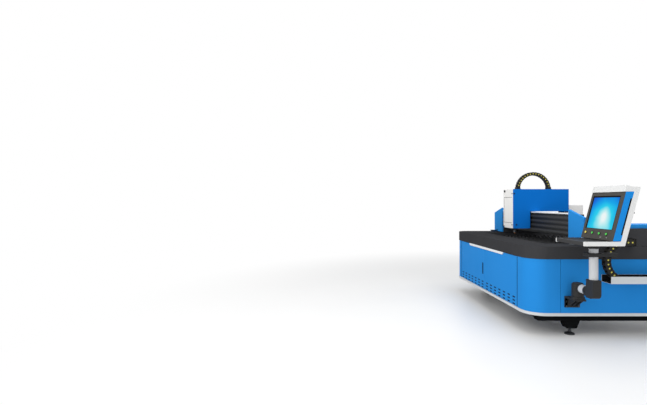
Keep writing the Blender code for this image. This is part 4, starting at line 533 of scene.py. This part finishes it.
def drawn(outline, axis, low, high):
    """A flat outline drawn out along an axis; its points are (y, z), (x, z) or (x, y)."""
    shape = bmesh.new()
    at = {"X": lambda a, b, c: (c, a, b), "Y": lambda a, b, c: (a, c, b),
          "Z": lambda a, b, c: (a, b, c)}[axis]
    first = [shape.verts.new(at(a, b, low)) for a, b in outline]
    last = [shape.verts.new(at(a, b, high)) for a, b in outline]
    shape.faces.new(first)
    shape.faces.new(last)
    for step in range(len(outline)):
        after = (step + 1) % len(outline)
        shape.faces.new((first[step], first[after], last[after], last[step]))
    return shape


one_slat = drawn(profile, "X", slat_first_x, slat_first_x + slat_thickness)
slats = row(one_slat, slat_count, (slat_pitch, 0, 0), slat_steel)
piece("slat_row", slats, slat_steel, "slat_bed", ("slat_bed",))
rail_reach, rail_width, rail_low, rail_high = 1.925, 0.030, 0.765, 0.8148
rails = joined(*[
    block((-rail_reach, y, rail_low), (rail_reach, y + rail_width, rail_high), 0.0015)
    for y in (-0.576, 1.096)])
piece("slat_rails", rails, slat_steel, "slat_bed")


# Guide rails. Hardened ground rails are bolted along both sides of the rim; the gantry's
# bearing blocks run on them.
rail_steel = ground_steel("hardened_rail_steel", "75787b", "898c8f", 0.26, (0.03, 1, 1))
for node in ("guide_rail_near", "guide_rail_far"):
    dressed(node, rail_steel, 0.0008)


def cap_screw(radius, head, where):
    """A socket-head screw: a round head with a round socket sunk in its top."""
    outside = [(0.45 * radius, 0.4 * head), (0.5 * radius, head), (0.9 * radius, head),
               (radius, 0.88 * head), (radius, 0), (0, 0)]
    socket = [(0, 0.4 * head), (0.45 * radius, 0.4 * head)]
    return lathe(socket + outside, 12, where)


# Black oxide on alloy steel: near black with a dry sheen
black_oxide, tree, shader, place = new_finish("black_oxide_screws")
speck = add(tree, "ShaderNodeTexNoise", {}, {"Vector": place, "Scale": 500.0, "Detail": 2.0})
tint = add(tree, "ShaderNodeMix", {"data_type": "RGBA"}, {
    "Factor": speck.outputs["Fac"], 6: linear("17181a"), 7: linear("2a2b2d")})
tree.links.new(tint.outputs[2], shader.inputs["Base Color"])
shader.inputs["Metallic"].default_value = 0.2
shader.inputs["Roughness"].default_value = 0.5
shader.inputs["Specular IOR Level"].default_value = 0.1


# Bed chain. Nylon drag chain lies in a grey folded tray on the near side, turns up in a loop
# and ends on a black bracket of the near saddle; yellow snap pins hold its links.
tray_paint = powder_coat("pale_grey_tray_coat", "ccd0d3", "c4c8cb", 0.36, 0.15)
dressed("chain_tray", tray_paint, 0.0008)
# Near-black sheets on the tray's floor and inner wall are painted shade for the dark inside of the tray
shade_sheet_front, shade_sheet_rear = -1.524, 2.024
wall_face, wall_back, wall_low, wall_high = -0.9493, -0.9474, 0.573, 0.64
floor_near, floor_far, floor_low, floor_high = -1.0915, -0.9495, 0.57203, 0.57215
tray_shade_sheets = joined(block((shade_sheet_front, wall_face, wall_low), (shade_sheet_rear, wall_back, wall_high), 0),
               block((shade_sheet_front, floor_near, floor_low), (shade_sheet_rear, floor_far, floor_high), 0))
piece("tray_shade_lining", tray_shade_sheets, filter_foam_and_shade, "chain_tray")
dressed("chain_bracket", black_abs, 0.001)
chain_nylon = moulded_plastic("glass_filled_nylon_links", "242321", "2e2c29", 0.5, 1.5)
pin_yellow = moulded_plastic("yellow_nylon_snap_pins", "d3c95e", "c6bb4e", 0.45, 1.5)


def link_shape(pitch, width, tall, pin_radius, scale=1.0):
    """One link along X: two waisted side plates, two cross bars, and a snap pin in each plate."""
    plate = 0.16 * width
    half, reach, waist = tall / 2, pitch * 0.56, tall * 0.465
    outline = [(-reach, -waist * 0.8), (-reach * 0.86, -waist), (-reach * 0.1, -waist),
               (reach * 0.05, -half), (reach * 0.86, -half), (reach, -half * 0.8),
               (reach, half * 0.8), (reach * 0.86, half), (reach * 0.05, half),
               (-reach * 0.1, waist), (-reach * 0.86, waist), (-reach, waist * 0.8)]
    parts = [drawn(outline, "Y", side, side + plate) for side in (-width / 2, width / 2 - plate)]
    bar = pitch * 0.30
    for low, high in ((half * 0.78, half * 0.99), (-half * 0.99, -half * 0.78)):
        parts.append(block((-bar + pitch * 0.2, -width / 2 + 0.002, low),
                           (bar + pitch * 0.2, width / 2 - 0.002, high), 0.0012))
    shape = joined(*parts)
    plain = len(shape.faces)
    pins = []
    for sign in (-1, 1):
        turn = Matrix.Translation((pitch * 0.2, sign * (width / 2 - 0.0004), 0)) @ (
            Matrix.Rotation(-sign * math.pi / 2, 4, "X"))
        pins.append(lathe([(0, 0.0006), (pin_radius * 0.8, 0.0006), (pin_radius, 0), (0, 0)], 12, turn))
    shape = joined(shape, *pins)
    for face in shape.faces:
        face.material_index = 0 if face.index < plain else 1
    bmesh.ops.scale(shape, vec=(scale, scale, scale), verts=shape.verts)
    return shape


def link_at(name, size, centre, turn, across, share, scale, bodies, node):
    """Sets a link in a run. At a share of nought it rides the first body, at one the second, and
    between them it stays put.
    """
    shape = link_shape(*size, scale=scale)
    along = Matrix.Rotation(turn, 4, "Y")
    if across == "X":
        along = Matrix.Rotation(math.pi / 2, 4, "Z") @ along
    shape.transform(Matrix.Translation(centre) @ along)
    made = piece(name, shape, [chain_nylon, pin_yellow], node)
    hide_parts(node)
    share = min(max(share, 0.0), 1.0)
    if 0.0 < share < 1.0:
        made.parent = None
        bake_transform(made)
    elif share == 1.0:
        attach(made, bodies[1])
    else:
        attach(made, bodies[0])


bed_link = (0.042, 0.060, 0.060, 0.0095)
bed_y, bed_low_z, bed_loop_x, bed_loop_radius = -1.05, 0.6023, -1.356, 0.188
bed_travel, bed_link_count, bed_loop_count, bed_end_x = 3.0, 38, 14, 0.245
bed_upper_run, bed_nesting = 0.0837, 0.0012
bed_bodies = ("bed", "gantry")
bed_high_z = bed_low_z + 2 * bed_loop_radius
loop_at_end = bed_loop_x + bed_travel / 2
for number in range(bed_link_count):
    rest_x = bed_loop_x + (number + 0.5) * (bed_end_x - bed_loop_x) / bed_link_count
    last_x = loop_at_end + (number % 2 + 0.5) * (bed_end_x - loop_at_end) / 2
    link_at("bed_chain_lower_%02d" % number, bed_link, (rest_x, bed_y, bed_low_z), 0, "Y",
            (last_x - rest_x) / bed_travel, 1.0, bed_bodies, "bed_chain")
for number in range(bed_loop_count):
    angle = math.radians(-90 - 180 * (number + 0.5) / bed_loop_count)
    centre = (bed_loop_x + bed_loop_radius * math.cos(angle), bed_y,
              bed_low_z + bed_loop_radius + bed_loop_radius * math.sin(angle))
    link_at("bed_chain_loop_%02d" % number, bed_link, centre, -angle - math.pi / 2, "Y", 0.5, 1.0,
            bed_bodies, "bed_chain")
for number in range(bed_link_count):
    rest_x = bed_loop_x + (number % 2 + 0.5) * bed_upper_run / 2
    last_x = loop_at_end + (number + 0.5) * (bed_travel / 2 + bed_upper_run) / bed_link_count
    nested = 1.0 - bed_nesting * (bed_link_count - 1 - number)
    link_at("bed_chain_upper_%02d" % number, bed_link, (rest_x, bed_y, bed_high_z), math.pi, "Y",
            (last_x - rest_x) / bed_travel, nested, bed_bodies, "bed_chain")


# Saddles and end covers. Black folded housings run over the rails at both ends of the gantry;
# the blue covers over the beam's ends have sloped tops, and carry a low cap along each saddle.
cover_blue = powder_coat("blue_cover_powder_coat", "3092e0", "2c8dda", 0.34, 0.12)
for node in ("saddle_near", "saddle_far"):
    dressed(node, black_coat, 0.0012)
for node in ("end_cover_near", "end_cover_far"):
    dressed(node, cover_blue, 0.0025)


# Beam. A black anodised box extrusion with four long ribs on its front, a white cap strip on
# top, and a ledge behind that carries the carriage's drag chain.
# Black anodised aluminium: dark, satin, with faint lines along the extrusion
anodised, tree, shader, place = new_finish("black_anodised_extrusion")
stretched = add(tree, "ShaderNodeMapping", {}, {"Vector": place, "Scale": (1, 0.02, 1)})
lines = add(tree, "ShaderNodeTexNoise", {}, {
    "Vector": stretched.outputs[0], "Scale": 180.0, "Detail": 3.0})
tint = add(tree, "ShaderNodeMix", {"data_type": "RGBA"}, {
    "Factor": lines.outputs["Fac"], 6: linear("1b1b1b"), 7: linear("2b2b2b")})
# The crests of the ribs are painted paler than the grooves: a painted highlight where the
# crests stand out into the light, and painted shade in the grooves between them
first_rib_z, rib_pitch = 1.035, 0.056
upright = add(tree, "ShaderNodeSeparateXYZ", {}, {0: place})
from_first_rib = add(tree, "ShaderNodeMath", {"operation": "SUBTRACT"}, {
    0: upright.outputs["Z"], 1: first_rib_z})
off_crest = add(tree, "ShaderNodeMath", {"operation": "PINGPONG"}, {
    0: from_first_rib.outputs[0], 1: rib_pitch / 2})
crest_highlight_share = add(tree, "ShaderNodeMapRange", {}, {
    "Value": off_crest.outputs[0], "From Min": 0.014, "From Max": 0.020, "To Min": 1.0, "To Max": 0.0})
painted_crest_highlight = add(tree, "ShaderNodeMix", {"data_type": "RGBA"}, {
    "Factor": crest_highlight_share.outputs[0], 6: tint.outputs[2], 7: linear("434445")})
tree.links.new(painted_crest_highlight.outputs[2], shader.inputs["Base Color"])
shader.inputs["Metallic"].default_value = 0.15
shader.inputs["Roughness"].default_value = 0.45
shader.inputs["Specular IOR Level"].default_value = 0.1
dressed("gantry_beam", anodised, 0.0006)
dressed("beam_cap", white_paint, 0.0008)


# Beam chain. The same nylon chain in a smaller size lies on the ledge behind the beam and
# follows the carriage.
beam_link = (0.035, 0.050, 0.035, 0.006)
beam_x, beam_low_z, beam_loop_y, beam_loop_radius = -1.2033, 1.0478, 0.77, 0.08
beam_fixed_y, beam_tongue_y = 0.275, 0.4115
to_far, to_near = 0.60, 0.88
beam_link_count, beam_loop_count, lower_slots, upper_slots, beam_nesting = 23, 7, 14, 10, 0.002
beam_bodies = ("gantry", "carriage")
beam_high_z = beam_low_z + 2 * beam_loop_radius
lower_run, upper_run = beam_loop_y - beam_fixed_y, beam_loop_y - beam_tongue_y
for number in range(beam_link_count):
    slot = int(number * lower_slots / beam_link_count)
    rest_y = beam_fixed_y + (slot + 0.5) * lower_run / lower_slots
    last_y = beam_fixed_y + (number + 0.5) * (lower_run + to_far / 2) / beam_link_count
    nested = 1.0 - beam_nesting * (number % 3)
    link_at("beam_chain_lower_%02d" % number, beam_link, (beam_x, rest_y, beam_low_z), 0, "X",
            (last_y - rest_y) / to_far, nested, beam_bodies, "beam_chain")
for number in range(beam_loop_count):
    angle = math.radians(-90 + 180 * (number + 0.5) / beam_loop_count)
    centre = (beam_x, beam_loop_y + beam_loop_radius * math.cos(angle),
              beam_low_z + beam_loop_radius + beam_loop_radius * math.sin(angle))
    link_at("beam_chain_loop_%02d" % number, beam_link, centre, -angle - math.pi / 2, "X", 0.5,
            1.0, beam_bodies, "beam_chain")
for number in range(beam_link_count):
    slot = int(number * upper_slots / beam_link_count)
    rest_y = beam_loop_y - (slot + 0.5) * upper_run / upper_slots
    first_y = beam_loop_y - to_near / 2 - (number + 0.5) * (upper_run + to_near / 2) / beam_link_count
    nested = 1.0 - beam_nesting * (number % 3)
    link_at("beam_chain_upper_%02d" % number, beam_link, (beam_x, rest_y, beam_high_z), math.pi,
            "X", (rest_y - first_y) / to_near, nested, beam_bodies, "beam_chain")


# Carriage. A deep blue folded shell straddles the beam; inside it a dark machined plate runs on
# the beam's ribs. A white cover with a framed panel closes its front, held by black screws.
deep_blue = powder_coat("deep_blue_powder_coat", "1170c9", "0e69c0", 0.34, 0.12)
dressed("carriage_shell", deep_blue, 0.0009)
dressed("carriage_plate", frame_paint, 0.001)
cover_white = powder_coat("pale_grey_white_cover_coat", "f2f0ed", "e9e7e4", 0.38, 0.12)
dressed("head_cover", cover_white, 0.0015)
dressed("carriage_box", cover_white, 0.001)
cover_low, cover_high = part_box("head_cover")
cover_x = cover_low[0]
panel_near, panel_far = cover_low[1] + 0.018, cover_high[1] - 0.022
panel_low, panel_top = cover_low[2] + 0.070, cover_high[2] - 0.105
seal, proud, sunk = 0.004, 0.0008, 0.002
frame_bars = [((panel_near, panel_top - seal), (panel_far, panel_top)),
              ((panel_near, panel_low), (panel_far, panel_low + seal)),
              ((panel_far - seal, panel_low), (panel_far, panel_top))]
seal_bars = [block((cover_x - proud, low[0], low[1]), (cover_x + sunk, high[0], high[1]), 0)
             for low, high in frame_bars]
piece("cover_panel_seal", joined(*seal_bars), rubber_and_shade_black, "head_cover")
to_front = Matrix.Rotation(-math.pi / 2, 4, "Y")
small_screw, large_screw = (0.009, 0.005), (0.017, 0.008)
screw_places = (
    (small_screw, cover_low[1] + 0.010, cover_low[2] + 0.048),
    (small_screw, cover_low[1] + 0.010, cover_high[2] - 0.058),
    (small_screw, cover_high[1] - 0.030, cover_low[2] + 0.018),
    (large_screw, cover_high[1] - 0.045, cover_high[2] - 0.024))
screws = [cap_screw(*size, Matrix.Translation((cover_x + proud, y, z)) @ to_front)
          for size, y, z in screw_places]
piece("head_cover_screws", joined(*screws), black_oxide, "head_cover")
shell_low, shell_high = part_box("carriage_shell")
to_near_side = Matrix.Rotation(math.pi / 2, 4, "X")
to_far_side = Matrix.Rotation(-math.pi / 2, 4, "X")
side_screw = (0.009, 0.006)
side_places = ((shell_low[0] + 0.014, shell_high[2] - 0.058), (shell_low[0] + 0.043, 1.0875))
side_screws = [
    cap_screw(*side_screw, Matrix.Translation((x, y, z)) @ outwards)
    for y, outwards in ((shell_low[1] + proud, to_near_side), (shell_high[1] - proud, to_far_side))
    for x, z in side_places]
piece("carriage_side_screws", joined(*side_screws), black_oxide, "carriage_shell")


# Cutting head. A turned, dark anodised body rides a rail on the carriage plate and ends in a small
# copper nozzle over the sheet.
head_aluminium = ground_steel("dark_anodised_head", "4b4e52", "5e6165", 0.36, (1, 1, 8))
dressed("cutting_head", head_aluminium, 0.0008)
# Copper: warm and bright, a little dulled by heat at the tip
nozzle_copper, tree, shader, place = new_finish("turned_copper_nozzle")
dull = add(tree, "ShaderNodeTexNoise", {}, {"Vector": place, "Scale": 300.0, "Detail": 3.0})
tint = add(tree, "ShaderNodeMix", {"data_type": "RGBA"}, {
    "Factor": dull.outputs["Fac"], 6: linear("8a5f41"), 7: linear("6d4a33")})
tree.links.new(tint.outputs[2], shader.inputs["Base Color"])
shader.inputs["Metallic"].default_value = 1.0
shader.inputs["Roughness"].default_value = 0.32
dressed("nozzle", nozzle_copper, 0.0004)


# Head chain. An arch of the nylon chain stands on the carriage's top and feeds the head; its
# ends are bolted to small black brackets.
def arch_tree():
    """Links of a chain along a half circle that stands upright, each turned to its tangent."""
    tree = bpy.data.node_groups.new("links_along_an_arch", "GeometryNodeTree")
    for label, kind in (("Link", "NodeSocketGeometry"), ("Count", "NodeSocketInt"),
                        ("Radius", "NodeSocketFloat"), ("Centre", "NodeSocketVector"),
                        ("Finish", "NodeSocketMaterial")):
        tree.interface.new_socket(label, in_out="INPUT", socket_type=kind)
    tree.interface.new_socket("Arch", in_out="OUTPUT", socket_type="NodeSocketGeometry")
    given = add(tree, "NodeGroupInput", {}, {})
    share = add(tree, "ShaderNodeMath", {"operation": "DIVIDE"}, {
        0: math.pi, 1: given.outputs["Count"]})
    half = add(tree, "ShaderNodeMath", {"operation": "MULTIPLY"}, {0: share.outputs[0], 1: 0.5})
    sweep = add(tree, "ShaderNodeMath", {"operation": "SUBTRACT"}, {0: math.pi, 1: share.outputs[0]})
    arc = add(tree, "GeometryNodeCurveArc", {}, {
        "Resolution": 128, "Radius": given.outputs["Radius"],
        "Start Angle": half.outputs[0], "Sweep Angle": sweep.outputs[0]})
    upright = add(tree, "GeometryNodeTransform", {}, {
        "Geometry": arc.outputs["Curve"], "Translation": given.outputs["Centre"],
        "Rotation": (math.pi / 2, 0, 0)})
    points = add(tree, "GeometryNodeResampleCurve", {}, {
        "Curve": upright.outputs[0], "Count": given.outputs["Count"]})
    tangent = add(tree, "GeometryNodeInputTangent", {}, {})
    turn = add(tree, "FunctionNodeAlignRotationToVector", {"axis": "X", "pivot_axis": "Y"}, {
        "Vector": tangent.outputs[0]})
    copies = add(tree, "GeometryNodeInstanceOnPoints", {}, {
        "Points": points.outputs[0], "Instance": given.outputs["Link"],
        "Rotation": turn.outputs[0]})
    real = add(tree, "GeometryNodeRealizeInstances", {}, {"Geometry": copies.outputs[0]})
    coated = add(tree, "GeometryNodeSetMaterial", {}, {
        "Geometry": real.outputs[0], "Material": given.outputs["Finish"]})
    add(tree, "NodeGroupOutput", {}, {"Arch": coated.outputs[0]})
    return tree


arch_links = arch_tree()
arch_count, arch_radius, arch_centre = 17, 0.2, (-1.625, 0.31, 1.5523)
arch_link = (0.0365, 0.050, 0.0432, 0.0085)
for name, material, kept in (("head_chain_links", chain_nylon, 0), ("head_chain_pins", pin_yellow, 1)):
    shape = link_shape(*arch_link)
    spare = [face for face in shape.faces if face.material_index != kept]
    bmesh.ops.delete(shape, geom=spare, context="FACES")
    arch = evaluated(shape, arch_links, {
        "Count": arch_count, "Radius": arch_radius, "Centre": arch_centre, "Finish": material})
    bmesh.ops.delete(arch, geom=[v for v in arch.verts if not v.link_faces], context="VERTS")
    for face in arch.faces:
        face.material_index = 0
    piece(name, arch, material, "head_chain", ("head_chain",))
arch_x, arch_y, arch_z = arch_centre
plate_half_x, plate_half_y, plate_top = 0.030, 0.031, arch_z + 0.006
lug_half, lug_inner, lug_outer, lug_low, lug_high = 0.0235, 0.0265, 0.0305, 1.5575, 1.580
ends = []
for x in (arch_x - arch_radius, arch_x + arch_radius):
    ends.append(block((x - plate_half_x, arch_y - plate_half_y, arch_z),
                      (x + plate_half_x, arch_y + plate_half_y, plate_top), 0.001))
    for near, far in ((-lug_outer, -lug_inner), (lug_inner, lug_outer)):
        ends.append(block((x - lug_half, arch_y + near, lug_low),
                          (x + lug_half, arch_y + far, lug_high), 0.001))
piece("head_chain_brackets", joined(*ends), black_oxide, "head_chain")


# Console arm. A gusseted black bracket is bolted to the near side; on it a moulded knuckle
# swivels, and a grey tube, a rounded elbow and an upright pole carry the console.
for node, edge in (("arm_bracket", 0.0015), ("arm_knuckle", 0.002), ("arm_elbow", 0.0008),
                   ("pole_plate", 0.0008)):
    dressed(node, black_abs, edge)
pole_paint = powder_coat("silver_grey_pole_coat", "c8cacc", "bfc1c4", 0.33, 0.15)
for node in ("arm_tube", "console_pole"):
    dressed(node, pole_paint, 0.001)
# The console turns on a black collar, over a grey ring fixed to the bar on the pole
pole_x, pole_y = -1.83, -1.305
pole_at = Matrix.Translation((pole_x, pole_y, 0))
collar = [(0, 0.98665), (0.0435, 0.98665), (0.0450, 0.98500), (0.0450, 0.94600), (0.0435, 0.94440),
          (0, 0.94440)]
piece("neck_collar", lathe(collar, 40, pole_at), black_abs, "console_neck", ("console_neck",))
ring = [(0, 0.94420), (0.0390, 0.94420), (0.0400, 0.94320), (0.0400, 0.90460), (0.0390, 0.90340),
        (0, 0.90340)]
piece("neck_ring", lathe(ring, 40, pole_at), pole_paint, "console_neck")
# The elbow's moulded socket reaches a little way along the arm tube
elbow_far_y, socket_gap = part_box("arm_elbow")[1][1], 0.0003
tube_low, tube_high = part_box("arm_tube")
socket_at = Matrix.Translation((pole_x, elbow_far_y + socket_gap, (tube_low[2] + tube_high[2]) / 2))
socket = [(0, 0.0280), (0.0435, 0.0280), (0.0447, 0.0268), (0.0447, 0.0), (0, 0)]
piece("elbow_socket", lathe(socket, 40, socket_at @ to_far_side), black_abs, "arm_elbow")
plate_low, plate_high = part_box("arm_bracket")
plate_bolt, plate_depth, bolt_inset, upper_bolt = (0.008, 0.006), 0.0146, 0.014, 0.060
bolts = [cap_screw(*plate_bolt, Matrix.Translation((x, plate_high[1] - plate_depth, z)) @ to_near_side)
         for x in (plate_low[0] + bolt_inset, plate_high[0] - bolt_inset)
         for z in (plate_low[2] + bolt_inset, plate_low[2] + upper_bolt)]
piece("arm_bracket_bolts", joined(*bolts), zinc, "arm_bracket")


# Console. A white folded housing leans back on the neck, with blue side faces, a black front
# plate, the screen, four push buttons and a black keyboard tray between white cheeks.
console_white = powder_coat("bright_white_console_coat", "dfdfde", "d9d9d8", 0.34, 0.1)
dressed("console_frame", console_white, 0.0015)
console_blue = powder_coat("blue_console_powder_coat", "2288d8", "1e82d0", 0.34, 0.12)
lean = math.radians(14.94)
console_near, console_far, face_low, face_high = -1.5, -1.023, 1.029, 1.475


def on_lean(depth, height):
    """A point in the console's side view, a level distance behind its leaning face."""
    return (-1.783 + (height - face_low) * math.tan(lean) + depth, height)


panel_front, groove_front, panel_back, groove_foot, groove_head = 0.006, 0.0605, 0.077, 1.083, 1.414
side_view = [on_lean(panel_front, face_low), on_lean(panel_back, face_low),
             on_lean(panel_back, groove_foot), on_lean(groove_front, groove_foot),
             on_lean(groove_front, groove_head), on_lean(panel_back, groove_head),
             on_lean(panel_back, face_high), on_lean(panel_front, face_high)]
side_panel = rounded(drawn(side_view, "Y", console_near, console_far), 0.0008)
piece("console_panel_finish", side_panel, console_blue, "console_panel", ("console_panel",), broad=True)
# A near-black strip fills the groove along the rear edge of each blue side face: painted shade for the
# groove
seam = 0.0004
groove_shade_view = [on_lean(depth, height) for depth, height in (
    (groove_front + seam, groove_foot + seam), (panel_back - seam / 2, groove_foot + seam),
    (panel_back - seam / 2, groove_head - seam), (groove_front + seam, groove_head - seam))]
side_groove_shade = rounded(drawn(groove_shade_view, "Y", console_near + 0.002, console_far - 0.002), 0.0006)
piece("console_side_groove_shading", side_groove_shade, rubber_and_shade_black, "console_panel")
# Black thumb screws hold the rear shell
to_rear = Matrix.Rotation(math.pi / 2, 4, "Y")
thumb_screw, thumb_inset, shell_back, thumb_height = (0.009, 0.010), 0.014, 0.1268, 1.285
thumb_x, thumb_z = on_lean(shell_back, thumb_height)
thumb = joined(*[cap_screw(*thumb_screw, Matrix.Translation((thumb_x, y, thumb_z)) @ to_rear)
                 for y in (console_near + thumb_inset, console_far - thumb_inset)])
piece("console_thumb_screws", thumb, black_oxide, "console_frame")
front_plastic = moulded_plastic("charcoal_front_plate", "403e3b", "474542", 0.42, 1.0)
dressed("console_bezel", front_plastic, 0.0008)
tray_plastic = moulded_plastic("black_tray_moulding", "323233", "3a3a3b", 0.5, 1.2)
dressed("keyboard_tray", tray_plastic, 0.001)
# Black edging covers the top of both cheeks, where the operator's wrists pass
cheek_front, cheek_rear, cheek_width = -2.0345, -1.79, 0.0146
edging_low, edging_high = 1.0223, 1.0258
edging = joined(*[
    block((cheek_front, y, edging_low), (cheek_rear, y + cheek_width, edging_high), 0.0005)
    for y in (-1.4990, -1.0386)])
piece("cheek_edging", edging, tray_plastic, "console_frame")


# Screen. A glossy polycarbonate pane over a lit panel is set in the front plate, with near-black
# bars round it as painted shade for the recess walls. It shows a plain blue glow that is nearly white
# in the middle.
screen_finish, tree, shader, place = new_finish("lit_polycarbonate_screen")
glow_centre = (-1.74, -1.285, 1.25)
centred = add(tree, "ShaderNodeVectorMath", {"operation": "SUBTRACT"}, {0: place, 1: glow_centre})
widened = add(tree, "ShaderNodeVectorMath", {"operation": "MULTIPLY"}, {
    0: centred.outputs[0], 1: (0, 0.75, 0.75)})
away = add(tree, "ShaderNodeVectorMath", {"operation": "LENGTH"}, {0: widened.outputs[0]})
cloud = add(tree, "ShaderNodeTexNoise", {}, {"Vector": place, "Scale": 9.0, "Detail": 1.0})
shift = add(tree, "ShaderNodeMath", {"operation": "MULTIPLY_ADD"}, {
    0: cloud.outputs["Fac"], 1: 0.05, 2: -0.025})
rise = add(tree, "ShaderNodeSeparateXYZ", {}, {0: centred.outputs[0]})
sink = add(tree, "ShaderNodeMath", {"operation": "MULTIPLY_ADD"}, {
    0: rise.outputs["Z"], 1: 0.3, 2: shift.outputs[0]})
spread = add(tree, "ShaderNodeMath", {"operation": "ADD"}, {
    0: away.outputs["Value"], 1: sink.outputs[0]})
glow = add(tree, "ShaderNodeValToRGB", {}, {0: spread.outputs[0]})
stops = glow.color_ramp.elements
stops[0].position, stops[0].color = 0.01, linear("eef9f9")
stops[1].position, stops[1].color = 0.26, linear("0050cc")
for position, colour in ((0.05, "a5ecf2"), (0.09, "28d2f0"), (0.15, "08a8ec"), (0.21, "0474e0")):
    stop = stops.new(position)
    stop.color = linear(colour)
tree.links.new(glow.outputs["Color"], shader.inputs["Emission Color"])
shader.inputs["Emission Strength"].default_value = 0.95
shader.inputs["Base Color"].default_value = linear("04070c")
shader.inputs["Roughness"].default_value = 0.22
shader.inputs["Specular IOR Level"].default_value = 0.02
dressed("console_screen", screen_finish, 0.0004)
# Near-black bars lie on the front plate round the glass, wider above it and on its far side:
# painted shade for the walls of the sunk screen's recess
glass_near, glass_far, glass_low, glass_high = -1.45, -1.073, 1.129, 1.425
rim_near, rim_far, rim_low, rim_high, rim_gap = 0.004, 0.016, 0.003, 0.015, 0.0001


def recess_shade_bar(y_low, y_high, z_low, z_high):
    """One flat near-black bar just outside the front plate's window: painted shade for the recess wall.
    """
    front, back = -0.0006, -0.0001
    view = [on_lean(front, z_low), on_lean(back, z_low), on_lean(back, z_high), on_lean(front, z_high)]
    return drawn(view, "Y", y_low, y_high)


screen_recess_shade = joined(
    recess_shade_bar(glass_near - rim_near, glass_far + rim_far, glass_high, glass_high + rim_high),
    recess_shade_bar(glass_near - rim_near, glass_far + rim_far, glass_low - rim_low, glass_low),
    recess_shade_bar(glass_far, glass_far + rim_far, glass_low + rim_gap, glass_high - rim_gap),
    recess_shade_bar(glass_near - rim_near, glass_near, glass_low + rim_gap, glass_high - rim_gap))
piece("screen_recess_shading", screen_recess_shade, rubber_and_shade_black, "console_bezel")


# Push buttons. Lit plastic caps, one yellow and three green, stand in thin black rings on the
# front plate; two pale lamps sit below the last ones.
def on_face(y, height):
    """The place on the leaning front plate, with Z square out of it."""
    x = on_lean(0, height)[0]
    sine, cosine = math.sin(lean), math.cos(lean)
    turn = Matrix(((0, sine, -cosine), (-1, 0, 0), (0, cosine, sine)))
    return Matrix.Translation((x, y, height)) @ turn.to_4x4()


def button_cap(name, colour, shade):
    """Tinted translucent acrylic with a lamp behind it: the cap glows evenly in its own colour."""
    material, tree, shader, place = new_finish(name)
    fine = add(tree, "ShaderNodeTexNoise", {}, {"Vector": place, "Scale": 400.0, "Detail": 2.0})
    tint = add(tree, "ShaderNodeMix", {"data_type": "RGBA"}, {
        "Factor": fine.outputs["Fac"], 6: linear(colour), 7: linear(shade)})
    tree.links.new(tint.outputs[2], shader.inputs["Base Color"])
    tree.links.new(tint.outputs[2], shader.inputs["Emission Color"])
    shader.inputs["Emission Strength"].default_value = 0.25
    shader.inputs["Roughness"].default_value = 0.25
    return material


yellow_cap = button_cap("yellow_acrylic_button", "d8c455", "ccb748")
green_cap = button_cap("green_acrylic_button", "3fbb3f", "36ad38")
dressed("button_yellow", yellow_cap, 0.0012)
for node in ("button_green_1", "button_green_2", "button_green_3"):
    dressed(node, green_cap, 0.0012)
button_height, lamp_height, first_button_y, button_pitch = 1.085, 1.052, -1.083, 0.104
button_ys = [first_button_y - number * button_pitch for number in range(4)]
ring = [(0.0118, 0.0025), (0.0150, 0.0025), (0.0162, 0.0012), (0.0162, -0.0004), (0.0118, -0.0004),
        (0.0118, 0.0025)]
rings = [lathe(ring, 20, on_face(y, button_height)) for y in button_ys]
piece("button_rings", joined(*rings), black_oxide, "console_bezel")
dome = [(0, 0.0015), (0.003, 0.0012), (0.004, -0.0004), (0, -0.0004)]
lamps = [lathe(dome, 12, on_face(y, lamp_height))
         for y in (button_ys[2] - 0.030, button_ys[3] - 0.010)]
piece("console_lamps", joined(*lamps), white_paint, "console_bezel")


# Keyboard. Low square keys, moulded in black plastic, stand in nine rows of twenty in the
# tray's recess.
key_x, key_y, key_low, key_high, key_width = -1.985, -1.430, 1.0145, 1.0205, 0.014
key_rows, key_row_pitch, keys_in_a_row, key_pitch = 9, 0.0168, 20, 0.0172
key = block((key_x, key_y, key_low), (key_x + key_width, key_y + key_width, key_high), 0.0015)
one_of_each_row = row(key, key_rows, (key_row_pitch, 0, 0), black_abs)
keys = row(one_of_each_row, keys_in_a_row, (0, key_pitch, 0), black_abs)
piece("keyboard_keys", keys, black_abs, "keyboard_tray")
